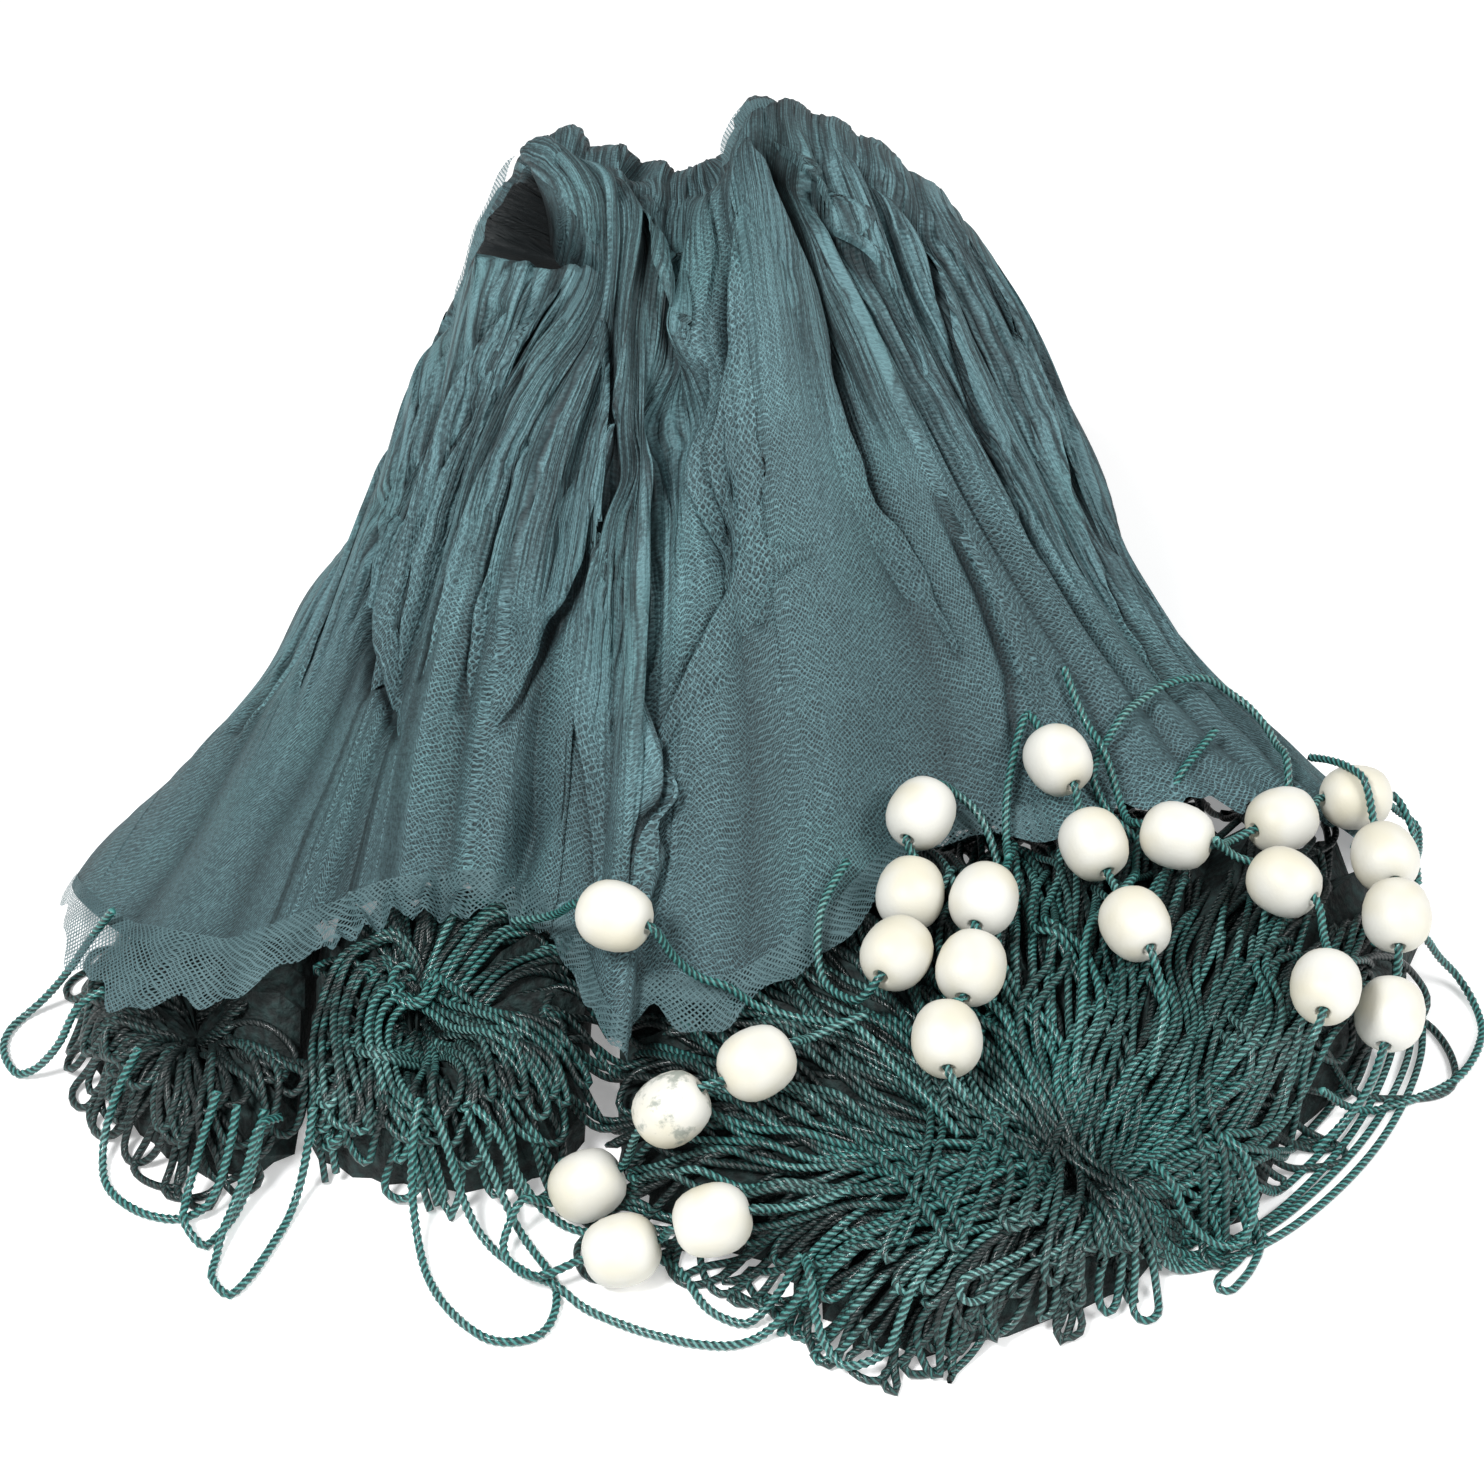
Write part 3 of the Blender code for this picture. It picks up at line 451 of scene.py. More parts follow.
def knife(phase, v):
    """Knife pleats: sideways place and height (shares of a pleat) and each pleat's own vigour."""
    count = np.floor(phase)
    turned = np.sin(count * 2.4 + 0.8) > 0.25
    share = np.where(turned, 1 - (phase - count), phase - count)
    rise = np.clip(share / KNIFE_TOP, 0, 1)
    fall = np.clip((share - KNIFE_TOP) / (1 - KNIFE_TOP), 0, 1)
    height = np.sin(rise * math.pi / 2)**1.3 * np.cos(fall * math.pi / 2)**0.8
    lean = 0.40 * rise**2 * (1 - fall)**1.2
    vigour = 0.62 + 0.30 * np.sin(count * 2.7 + 11 * v) + 0.22 * np.sin(count * 5.3 - 23 * v)
    return np.where(turned, -lean, lean), height, np.clip(vigour, 0.08, 1.2)


print("fine folds across the heap:", FOLDS_PER_PLEAT * (len(PLEATS) - 1))

# %% [markdown]
# Three things break the even pleats: the dark hollow under the hood, dents and lumps where the heap isn't
# full, and the creases beside lapped folds. Each is read as a depth at any place on the mound. The hollow
# and the creases are also painted dark, as shade.

# %% Hollow, dents and creases
HOLLOW_REACH = 60          # mm before and behind the hollow's plane
CREASE_FADE = (0.05, 0.09)  # how far in v a crease goes past its path, and over what length it fades
CREASE_ASIDE = 0.6         # how far beside the free edge it lies, as a share of its half width
CREASE_SHADE = 0.75


def in_hollow(body, outline=HOLLOW):
    """1 in the hollow under the hood, 0 outside, steep at its rim."""
    corners = mound(*outline.T)
    middle = corners.mean(0)
    out, side = mound_axes(*HOLLOW.mean(0)[:, None])
    down = np.cross(side[0], out[0])
    flat = np.stack([(corners - middle) @ side[0], (corners - middle) @ down], -1)
    spot = np.stack([(body - middle) @ side[0], (body - middle) @ down], -1)
    inside = np.full(spot.shape[:-1], np.inf)
    winding = np.sign(np.cross(flat[1] - flat[0], flat[2] - flat[1]))
    for a, b in zip(flat, np.roll(flat, -1, 0)):
        inside = np.minimum(inside, winding * np.cross(b - a, spot - a) / np.linalg.norm(b - a))
    share = np.clip(inside / HOLLOW_RIM, 0, 1)
    return share * share * (3 - 2 * share) * (np.abs((body - middle) @ out[0]) < HOLLOW_REACH)


def dent_depth(body, out):
    """How far the dents press places on the mound in, in mm."""
    side = unit(np.cross(out, (0, 0, 1)))
    down = np.cross(side, out)
    total = 0
    for dent_u, dent_v, wide, long, depth in DENTS:
        offset = body - mound(np.array([dent_u]), np.array([dent_v]))
        total = total + depth * np.exp(-((offset * side).sum(-1) / wide)**2 - ((offset * down).sum(-1) / long)**2)
    return total


def lap_creases(body, v):
    """Depth in mm and painted shade of the creases beside lapped folds, along the row v."""
    past, fade = CREASE_FADE
    total, light = 0, 1
    for side, _, _, half_width, depth, places in LAPS:
        path = np.array(places)
        first, last = path[0, 1], path[-1, 1]
        if first - past < v < last + past:
            edge = mound(*path.T) - side * CREASE_ASIDE * half_width * mound_axes(*path.T)[1]
            dark = np.exp(-(off_path(body, edge) / half_width)**2)
            dark = dark * np.clip((v - first + past) / fade, 0, 1) * np.clip((last + past - v) / fade, 0, 1)
            total = total + depth * dark
            light = light * (1 - CREASE_SHADE * dark)
    return total, light


print("dents:", len(DENTS), "creases:", len(LAPS))

# %% [markdown]
# One row of the netting runs from its left end to its right end at one v. Its pleat count is a third
# coordinate, which stays with a fold while the fold wanders across the mound. The row has all the folds,
# and it also gives what the material needs: the painted shade of each place, dark in a valley, and how far
# its meshes are open.

# %% One row of netting
MESH_PITCH = 3.6           # mm, knot to knot
SKIRT = 0.84               # v where the netting is spread out, and its meshes are counted
FLAT_AT_CREST = (0.85, 0.08)    # how much the main pleats flatten at the crest, and over what v
FLAT_FOLDS = (0.88, 0.07)       # and the fine folds


def ridge_places(v):
    """Place u of each main ridge on the row v."""
    return through(PLEAT_PLACES, PLEATS[:, :len(PLEAT_PLACES)].T, v)


def row_places(v, pleat):
    """Places on the mound, in mm, of pleat counts along one row."""
    u = through(np.arange(len(PLEATS)), ridge_places(v)[:, None], pleat)[..., 0]
    return mound(np.clip(u, 0, 1), v + 0 * pleat)


skirt_pleat = np.linspace(0, len(PLEATS) - 1, 321)
skirt_step = lengths(np.diff(row_places(SKIRT, skirt_pleat), axis=0))
skirt_meshes = np.concatenate([[0], np.cumsum(skirt_step)]) / MESH_PITCH


def meshes_at(pleat):
    """Meshes from the left end of the netting to a pleat count."""
    return np.interp(pleat, skirt_pleat, skirt_meshes)


def spread_width(pleat):
    """Width in mm of one pleat where the netting is spread out."""
    return np.interp(pleat, skirt_pleat[:-1], skirt_step) / (skirt_pleat[1] - skirt_pleat[0])


def away_from_crest(v, share, reach):
    """1 far from the crest, less by a share at it."""
    return 1 - share * np.exp(-((v - CREST + 0.01) / reach)**2)


def netting_row(v, pleat, fine=True, deep=True):
    """One row: places in mm, painted shade (0 in a valley to 1), how open the meshes are, outward directions.

    Without fine it has the main pleats alone, and without deep it spans the hollow under the hood.
    """
    heights = through(PLEAT_PLACES, PLEATS[:, len(PLEAT_PLACES):].T, v)
    u, height = through(np.arange(len(PLEATS)), np.stack([ridge_places(v), heights], -1), pleat).T
    u = np.clip(u, 0, 1)
    height = np.clip(height, 0, None) * away_from_crest(v, *FLAT_AT_CREST)
    row_v = np.full(u.shape, v)
    body = mound(u, row_v)
    out, across = mound_axes(u, row_v)
    ridge = np.abs(np.cos(math.pi * pleat))
    hood = np.exp(-(off_path(body, mound(*HOOD_PATH.T)) / HOOD_HALF_WIDTH)**2)
    hollow = in_hollow(body) if deep else 0 * height
    lift = height * (ridge - PLEAT_SINK)
    lift += HOOD_HEIGHT * hood * (1 - hollow) * (1 - 0.9 * np.exp(-((v - CREST) / 0.05)**2))
    lift = (lift - dent_depth(body, out)) * (1 - hollow) - HOLLOW_DEPTH * hollow
    slide = 0.45 * height * (ridge - PLEAT_SINK) * np.sign(np.sin(2.4 * pleat + 1.1))
    # painted shade: darker off the main ridges, and nearly black in the hollow under the hood
    shade = (0.55 + 0.45 * ridge) * (1 - (in_hollow(body, HOLLOW_PAINTED_SHADE) if deep else 0))
    crimp = crimp_at(pleat, v)
    width = lengths(np.gradient(body, axis=0)) / np.gradient(pleat)
    spread = np.clip(width / spread_width(pleat), 0, 1) * np.clip(1.1 - crimp, 0, 1)
    if fine:
        fold = width / FOLDS_PER_PLEAT
        phase = FOLDS_PER_PLEAT * pleat + 0.9 * wander(pleat, v, 1)
        phase = phase + 0.28 * np.sin(2 * math.pi * 0.37 * phase + 4 * v)
        lean, crest, vigour = knife(phase, v)
        crease, crease_light = lap_creases(body, v)
        tall = np.clip(0.62 * fold, 0, 5.0) * crimp * vigour * away_from_crest(v, *FLAT_FOLDS)
        lift += (tall * (crest - 0.45) - crease) * (1 - hollow)
        lift += 1.8 * wander(pleat * 0.9, v * 1.7, 4) * np.clip(1.2 - crimp, 0.2, 1)
        slide += lean * fold * np.clip(crimp, 0, 1) * vigour
        # painted shade: darker in the valleys of the fine folds and in the creases beside laps
        shade = shade * (1 - 0.60 * np.clip(crimp * vigour, 0, 1) * (1 - crest)) * crease_light
    return body + lift[:, None] * out + slide[:, None] * across, shade, spread, out


print("meshes across the skirt:", round(skirt_meshes[-1]))

# %% [markdown]
# What the netting lies on is read from the model itself, by dropping rays onto its rope heaps. A search
# tree makes that quick.

# %% What lies below
def tree_of(*names):
    """Search tree of some of the model's nodes."""
    corners, faces = [], []
    for name in names:
        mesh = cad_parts[name].data
        faces += [[len(corners) + k for k in face.vertices] for face in mesh.polygons]
        corners += [vertex.co.copy() for vertex in mesh.vertices]
    return BVHTree.FromPolygons(corners, faces)


def in_frame(points):
    """Places in metres in the model's frame, from mm in the tables' frame."""
    return (np.asarray(points, float) - (*HEAP_CENTRE, 0)) * MM


def top_of(tree, x, y):
    """Height of a tree's highest surface at a place, in mm in the tables' frame."""
    above = Vector(((x - HEAP_CENTRE[0]) * MM, (y - HEAP_CENTRE[1]) * MM, 1.0))
    hit = tree.ray_cast(above, Vector((0, 0, -1)))[0]
    return 0.0 if hit is None else hit.z / MM


heaps_below = tree_of("rope_heap_left", "rope_hank", "rope_sheaf")
print("top of the hank:", round(top_of(heaps_below, -190, -120), 1), "mm")

# %% [markdown]
# All the netting pieces carry the same three things. The UV map counts meshes across and down, so the
# pattern stays with the twine. Two values at each vertex give the painted shade of the place and how open
# it is.

# %% What a soft piece's mesh carries
def finish_mesh(mesh, layer, uv, **values):
    """Smooth faces, a UV map, given for each face corner, and values for the vertices."""
    mesh.uv_layers.new(name=layer).data.foreach_set("uv", uv.reshape(-1).astype(np.float32))
    for name, value in values.items():
        mesh.attributes.new(name, "FLOAT", "POINT").data.foreach_set("value", value.reshape(-1).astype(np.float32))
    mesh.polygons.foreach_set("use_smooth", [True] * len(mesh.polygons))


def at_corners(mesh, values):
    """Values of the vertices, in the order of the face corners."""
    corner = np.empty(len(mesh.loops), np.int32)
    mesh.loops.foreach_get("vertex_index", corner)
    return values[corner]


def new_piece(name, points, faces):
    """An object of a new mesh, from places in mm in the tables' frame."""
    mesh = bpy.data.meshes.new(name)
    mesh.from_pydata(in_frame(points).tolist(), [], faces)
    made = bpy.data.objects.new(name, mesh)
    scene.collection.objects.link(made)
    return made


def place_all(thing, points):
    """Move every vertex of a mesh to its place, given in mm in the tables' frame."""
    thing.data.vertices.foreach_set("co", in_frame(points).reshape(-1).astype(np.float32))
    thing.data.update()


print("nodes to dress:", len(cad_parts))

# %% [markdown]
# The netting is one grid of vertices, a row for each v, in two halves so that neither is too heavy. Where
# it would sink into the rope heaps it is lifted onto them, and the steps are smoothed, so it drapes. Cloth
# simulation could drop it there, but then its folds wouldn't lie where they should.

# %% The netting's two halves
COLUMNS_PER_FOLD = 9
COARSE = 1
BACK_ROWS, FRONT_ROWS = 36, 150
BACK_END = 0.3             # v where the rows get closer
CLEAR_OF_ROPE = 3.0        # mm
CLEAR_OF_GROUND = 0.8
HIGHEST_HEAP = 135         # mm, no rope lies above it
PLAIN_ROWS = 4             # every how many rows the meshes are counted
SPLIT = 8.5                # the pleat count of the valley where the two halves meet


def smoothed(values, rounds):
    """A blurred grid of values."""
    for _ in range(rounds):
        wide = np.pad(values, 1, "edge")
        values = (wide[1:-1, :-2] + values * 2 + wide[1:-1, 2:]) / 4
        wide = np.pad(values, 1, "edge")
        values = (wide[:-2, 1:-1] + values * 2 + wide[2:, 1:-1]) / 4
    return values


def rest_on_ropes(points, rows):
    """Lift a grid of places off the rope heaps and the ground, and lay its back hem on the ground."""
    carried = np.array([[top_of(heaps_below, x, y) if z < HIGHEST_HEAP else 0 for x, y, z in row] for row in points])
    need = np.where(carried > 0, carried + CLEAR_OF_ROPE, CLEAR_OF_GROUND)
    reach = smoothed(np.where(carried > 0, need, 0), 6)
    need = np.maximum(need, np.where(carried > 0, reach, CLEAR_OF_GROUND))
    points[..., 2] = np.maximum(points[..., 2], need)
    hem = rows.searchsorted(0.001) + 1
    points[:hem, :, 2] = np.minimum(points[:hem, :, 2], 1.2)


def netting_sheet(name, first, last, rows):
    """A grid of netting between two pleat counts."""
    columns = round((last - first) * FOLDS_PER_PLEAT * COLUMNS_PER_FOLD / COARSE)
    pleat = np.linspace(first, last, columns + 1)
    points, shade, spread, _ = map(np.array, zip(*(netting_row(v, pleat) for v in rows)))
    plain = np.array([netting_row(v, pleat, fine=False)[0] for v in rows[::PLAIN_ROWS]])
    down = np.cumsum(lengths(np.diff(plain, axis=0)), axis=0) / MESH_PITCH
    down = np.concatenate([np.zeros((1, columns + 1)), down])
    down = np.array([np.interp(rows, rows[::PLAIN_ROWS], column) for column in down.T]).T
    counts = np.stack([np.broadcast_to(meshes_at(pleat), down.shape), down], -1).reshape(-1, 2)
    rest_on_ropes(points, rows)

    bpy.ops.mesh.primitive_grid_add(x_subdivisions=columns, y_subdivisions=len(rows) - 1, size=1.0,
                                    calc_uvs=False)
    sheet = bpy.context.object
    sheet.name = name
    place_all(sheet, points)
    finish_mesh(sheet.data, "meshes", at_corners(sheet.data, counts), fold=shade, open=spread)
    print(name, "triangles:", 2 * len(sheet.data.polygons))
    return sheet


netting_rows = np.concatenate([np.linspace(0, BACK_END, BACK_ROWS // COARSE)[:-1],
                               np.linspace(BACK_END, 1, FRONT_ROWS // COARSE)])
netting_left = netting_sheet("netting_left", 0, SPLIT, netting_rows)
netting_right = netting_sheet("netting_right", SPLIT, len(PLEATS) - 1, netting_rows)

# %% [markdown]
# Where a layer of netting folds back on itself it ends in a free edge that stands a little off the layer
# below. The surface above only has the dark crease beside such an edge. Here each lap gets its own strip of
# cloth, from its curled edge to where it sinks into the netting, following the table of laps.

# %% Strips along a route
ROUTE_SCALE = 600          # mm that stand for 1 in u and v where a route is divided evenly


def even_path(points, spacing):
    """Places about `spacing` apart on the smooth curve through some points."""
    points = np.asarray(points, float)
    for _ in range(2):
        chord = np.concatenate([[0], np.cumsum(lengths(np.diff(points, axis=0)))])
        count = max(4, round(chord[-1] / spacing))
        points = through(chord, points, np.linspace(0, chord[-1], count + 1))
    return points


def even_route(places, spacing):
    """Places u, v about `spacing` mm apart on the smooth curve through some places."""
    return even_path([(u * ROUTE_SCALE, v * ROUTE_SCALE, 0) for u, v in places], spacing)[:, :2] / ROUTE_SCALE


def stacked(rows):
    """Grids from rows of several values each."""
    return [np.array(part) for part in zip(*rows)]


def sheet_of_strips(name, strips):
    """One mesh from strips: grids of places, with their counts and values as in the netting."""
    faces, first = [], 0
    for _, shade, _, _ in strips:
        index = first + np.arange(shade.size).reshape(shade.shape)
        faces += np.stack([index[:-1, :-1], index[:-1, 1:], index[1:, 1:], index[1:, :-1]], -1).reshape(-1, 4).tolist()
        first += shade.size
    points, shade, spread, counts = (np.concatenate([part.reshape(-1, size) for part in parts])
                                     for parts, size in zip(zip(*strips), (3, 1, 1, 2)))
    made = new_piece(name, points, faces)
    finish_mesh(made.data, "meshes", at_corners(made.data, counts), fold=shade, open=spread)
    return made


print("route of the first lap:", len(even_route(LAPS[0][-1], 3.0)), "places")

# %% [markdown]
# A lap rises along its first part and melts into the cloth along its last, so it has no blunt end.

# %% Lapped folds
LAP_ROW = 3.0              # mm between two rows of a lap
LAP_COLUMN = 1.6
CURL = 2.2                 # mm that the curled edge reaches back
LAP_START, LAP_END = 0.20, 0.55    # shares of its length in which a lap comes up and dies away
LAP_LEAST_WIDTH = 0.4
LAP_SINK = 5.0             # mm that its ends lie below the netting


def pleat_at(u, v):
    """Pleat count at a place u on the row v."""
    return np.interp(u, ridge_places(v), np.arange(len(PLEATS)))


def lap_heights(reach, wide, off, share, ridges):
    """Heights of one row of a lap over the netting: curled edge, free part, ridges and sunk edge."""
    over = np.clip(reach / wide, 0, 1)
    height = off * share * (1 - over**1.6) - 3.5 * over**3 - LAP_SINK * (1 - share)**1.5
    height = height - np.where(reach < 0, (0.9 + 1.5 * (reach / CURL)**2) * 1.6 * share, 0)
    # painted light: lighter on the ridges, and a painted highlight along the curled edge
    return height + 1.1 * (ridges - 0.5) * (over > 0.04), 0.62 + 0.30 * ridges + 0.25 * (over < 0.06)


def lap_strip(side, wide, off, places, seed):
    """Rows of one lap: places in mm, painted shades, openness and mesh counts."""
    route = even_route(places, LAP_ROW)
    along = np.linspace(0, 1, len(route))
    reach = np.concatenate([[-CURL, -0.9], np.arange(0, wide + 1, LAP_COLUMN)])
    up, away = np.clip(along / LAP_START, 0, 1)**0.6, np.clip((1 - along) / LAP_END, 0, 1)**0.6
    taper = np.maximum(up * away, 0.04)
    width_taper = np.maximum(up * (LAP_LEAST_WIDTH + (1 - LAP_LEAST_WIDTH) * away), 0.04)
    rows = []
    for row, ((u, v), share, width_share) in enumerate(zip(route, taper, width_taper)):
        middle = pleat_at(u, v)
        scale = np.linalg.norm(np.diff(netting_row(v, middle + np.array((-0.05, 0.05)), fine=False)[0], axis=0)) / 0.1
        wave = 1.5 * math.sin(0.09 * row * LAP_ROW + seed) + 0.8 * math.sin(0.23 * row * LAP_ROW + 2 * seed)
        pleat = middle + side * (reach * width_share + wave) / scale
        order = np.argsort(pleat)
        smooth, _, spread, out = (value[np.argsort(order)]
                                  for value in netting_row(v, pleat[order], fine=False, deep=False))
        ridges = np.abs(np.sin(math.pi * (reach / 5.2 + 0.12 * math.sin(0.07 * row + seed))))
        height, shade = lap_heights(reach, wide, off, share, ridges)
        counts = np.stack([meshes_at(pleat), np.full(len(reach), row * LAP_ROW / MESH_PITCH)], -1)
        rows.append((smooth + height[:, None] * out, np.clip(shade, 0, 1), spread, counts))
    return stacked(rows)


netting_laps = sheet_of_strips("netting_laps", [lap_strip(side, wide, off, places, seed)
                                                for seed, (side, wide, off, _, _, places) in enumerate(LAPS)])
print("laps:", len(LAPS), "triangles:", 2 * len(netting_laps.data.polygons))

# %% [markdown]
# Netting is twine with holes. From a few steps the holes of several layers overlap, so it reads as a dark
# cloth with a lighter lattice, dull in the folds and paler where the twine stands up to the light. The
# lattice follows the mesh counts in the UV map, so it closes up where the netting is gathered and opens
# where it is spread. At its single-layer edges the holes are really open.

# %% Lattice of twine
def lattice(across, down, width):
    """Twine of a diamond mesh: 1 on the twine, 0 in the hole."""
    one = ((across + down).fraction() * 2 - 1).size()
    two = ((across - down).fraction() * 2 - 1).size()
    return one.larger(two).between(1 - width, 1 - 0.35 * width)


def stretched(tree, across, down):
    """Noise on mesh counts scaled by given factors, so that its spots are long or thin."""
    return noise(tree, node(tree, "ShaderNodeCombineXYZ", {}, {0: across, 1: down}), 1.0)


netting_twine, tree, shader, place = new_material("netting_twine", 0.72)
# the painted shade at each vertex, 0 in a valley
fold = attribute(tree, "fold")
opened = attribute(tree, "open").between(0.10, 0.75)
gathered = 1 - opened
across, down = split_uv(tree, "meshes")
wobble = noise(tree, place, 75.0, 3.0, 0.65) * 2.2
wobble_two = noise(tree, place, 50.0, 3.0, 0.65) * 2.4
top_layer = lattice(across + wobble, down + wobble_two, 0.40)
under_layer = lattice(across * 0.93 + wobble_two, down * 1.06 - wobble, 0.40)
twine = (top_layer + under_layer * 0.45).smaller(1.0) * (0.20 + opened * 0.80) + gathered * 0.45
print("lattice of two layers, knots", MESH_PITCH, "mm apart")

# %% [markdown]
# Gathered netting is striped: its twine bunches into thin creases that run from crest to hem, with rows
# of knots across them. Both are noise on the mesh counts, stretched one way. Light and shade are then
# painted into the colour after the folds: a valley and a crease are painted nearly black, a ridge pale
# blue-green, and it is uneven from place to place.

# %% Netting twine
# the twine's colours in painted shade and painted light; the holes are painted the shade of the layers below, and the
# deepest valleys a near-black painted shade
BLUE_TWINE = (0.005, 0.015, 0.019), (0.150, 0.290, 0.320)    # in shade and in light
GREEN_TWINE = (0.005, 0.018, 0.019), (0.112, 0.268, 0.278)
HOLE_SHADE = (0.003, 0.009, 0.011), (0.018, 0.042, 0.048)
VALLEY_SHADE = (0.002, 0.005, 0.006)

drift = noise(tree, place, 22.0, 2.0) * 1.6
waves = stretched(tree, across * 0.52 + drift, down * 0.016)
fine_waves = stretched(tree, across * 1.5 + drift, down * 0.030)
crease = ((waves - 0.5).size() * 8.0).smaller(1.0)
fine_crease = ((fine_waves - 0.5).size() * 8.0).smaller(1.0)
creases = 1 - gathered * (1 - crease * 0.62 - fine_crease * 0.38)
knot_rows = (down * 6.283 + drift * 9.0 + wobble).cosine() * 0.5 + 0.5
thread = node(tree, "ShaderNodeCombineXYZ", {}, {0: across * 3.0, 1: down * 1.6})
linen = noise(tree, thread, 1.0, 2.0, 0.7).between(0.35, 0.65) * 0.5 + knot_rows * 0.5
patches = noise(tree, place, 9.0, 3.0)
grain = noise(tree, place, 430.0, 2.0, 0.75).between(0.32, 0.68)
# painted light and shade: from the painted shade of the folds, darker in the creases, with uneven tone from linen,
# patches and grain
light = (fold.between(0.12, 0.92) * 0.60 + linen * 0.22 + patches.between(0.3, 0.7) * 0.18) * (0.06 + creases * 0.94)
light = light * (0.56 + light * 0.95) * (0.66 + grain * 0.68) * (1.80 - opened * 1.30)
cloth = mixed(tree, patches.between(0.45, 0.7) * 0.5, mixed(tree, light, *BLUE_TWINE),
              mixed(tree, light, *GREEN_TWINE))
colour = mixed(tree, twine, mixed(tree, light, *HOLE_SHADE), cloth)
# painted shade: near black in the deepest valleys and the hollow
link(shader, "Base Color", mixed(tree, fold.between(0.0, 0.24), VALLEY_SHADE, colour))
bump(shader, twine * 0.3 + creases * 1.5 + waves * gathered * 1.8 + linen * 0.2, 0.0017)
print("material:", netting_twine.name)

# %% [markdown]
# Each netting piece gets its material and rides on the heap's only body, and the model's netting is
# hidden.


def netting_piece(thing, look):
    """Gets a material, rides on the heap's only body, and hides the model's netting."""
    thing.data.materials.clear()
    thing.data.materials.append(look)
    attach(thing, "root")
    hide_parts("netting")


netting_piece(netting_left, netting_twine)
netting_piece(netting_right, netting_twine)
netting_piece(netting_laps, netting_twine)

# %% [markdown]
# Laid rope is three strands twisted round each other. A tube of six sides whose corners stand out and in
# by turns, and which turns as it goes, has that form with few faces: the three outer corners are the
# strands. The tube's UV map counts its strands across and its metres along, for the yarn's own pattern.

# %% A laid rope along a path
ROPE_DIAMETER = 5.5
ROPE_LAY = 13.0            # mm for one whole turn of a strand
ROPE_SPACING = 2.0         # mm between two rings
GROOVE = 0.70              # how far out the groove between two strands lies, as a share of the radius
SIDES = 6
OWN_LIGHT = (0.78, 0.34)   # middle brightness of the turns of one piece, and how far they differ


def rope_rings(path, diameter, groove, lay):
    """Corners of the rings of a twisted tube, and its length at each ring."""
    ahead = unit(np.gradient(path, axis=0))
    up = np.array((0.0, 0.0, 1.0)) if abs(ahead[0][2]) < 0.9 else np.array((1.0, 0.0, 0.0))
    normal = np.empty_like(path)
    for k, direction in enumerate(ahead):
        up = up - direction * (up @ direction)
        up = up / np.linalg.norm(up)
        normal[k] = up
    aside = np.cross(ahead, normal)
    length = np.concatenate([[0], np.cumsum(lengths(np.diff(path, axis=0)))])
    turn = 2 * math.pi * (np.arange(SIDES)[None, :] / SIDES + length[:, None] / lay)
    radius = diameter / 2 * np.where(np.arange(SIDES) % 2, groove, 1.0)
    offset = np.cos(turn)[..., None] * normal[:, None] + np.sin(turn)[..., None] * aside[:, None]
    return path[:, None] + radius[None, :, None] * offset, length


def tube_faces(length):
    """Faces of one tube and their UV: a ring of four-sided faces at each step, then its two ends."""
    count = len(length)
    ring = np.arange(count - 1)[:, None] * SIDES
    side = np.arange(SIDES)[None, :]
    after = (side + 1) % SIDES
    quads = np.stack([ring + side, ring + side + SIDES, ring + after + SIDES, ring + after], -1)
    across = np.broadcast_to(side / SIDES, (count - 1, SIDES))
    along = np.broadcast_to(length[:-1, None] * MM, across.shape)
    beyond = np.broadcast_to(length[1:, None] * MM, across.shape)
    wide = across + 1 / SIDES
    uv = np.stack([across, along, across, beyond, wide, beyond, wide, along], -1).reshape(-1, 2)
    ends = [list(range(SIDES)), list(range(count * SIDES - 1, (count - 1) * SIDES - 1, -1))]
    return quads.reshape(-1, 4).tolist() + ends, np.concatenate([uv, np.zeros((2 * SIDES, 2))])


def rope_mesh(name, paths, material, spacing=ROPE_SPACING, diameter=ROPE_DIAMETER, groove=GROOVE, lay=ROPE_LAY,
              light_at=None):
    """One mesh of laid ropes along paths in mm, and the middle of each ring in metres."""
    corners, faces, uv, middles, shades = [], [], [], [], []
    for place, path in enumerate(paths):
        path = even_path(path, spacing * (1))
        rings, length = rope_rings(path, diameter, groove, lay)
        tube, tube_uv = tube_faces(length)
        first = sum(map(len, corners))
        faces += [[first + k for k in face] for face in tube]
        uv.append(tube_uv)
        corners.append(rings.reshape(-1, 3))
        middles.append(in_frame(path))
        own = OWN_LIGHT[0] + OWN_LIGHT[1] * math.sin(place * 12.9)
        shades.append(np.repeat(own * light_at(path) if light_at else np.ones(len(path)), SIDES))
    made = new_piece(name, np.concatenate(corners), faces)
    finish_mesh(made.data, "strands", np.concatenate(uv), light=np.concatenate(shades))
    made.data.materials.append(material)
    return made, middles


print("rope: three strands, one turn in", ROPE_LAY, "mm")

# %% [markdown]
# New green rope is shiny, and its colour is painted with a highlight on the crowns of its strands and a
# nearly black shade in its grooves. Both come from the strand count in the UV map, and fine noise along
# the rope breaks the painted highlight up into yarn. Most turns of the heaps are round tubes whose strands
# are in the pattern alone, which saves many faces.

# %% Laid rope
COAT = 0.15
UNLIT = (0.002, 0.007, 0.007)
TURNS_PER_METRE = 1 / (ROPE_LAY * MM)
# colours of the grooves (painted shade), the crowns (painted highlight) and the worn crowns
NEW_ROPE = (0.007, 0.030, 0.030), (0.056, 0.255, 0.236), (0.150, 0.350, 0.330)
SHADED_LOW_ROPE = (0.004, 0.016, 0.016), (0.028, 0.130, 0.120), (0.070, 0.170, 0.160)
SHADED_ROPE = (0.003, 0.010, 0.010), (0.022, 0.085, 0.080), (0.050, 0.105, 0.100)


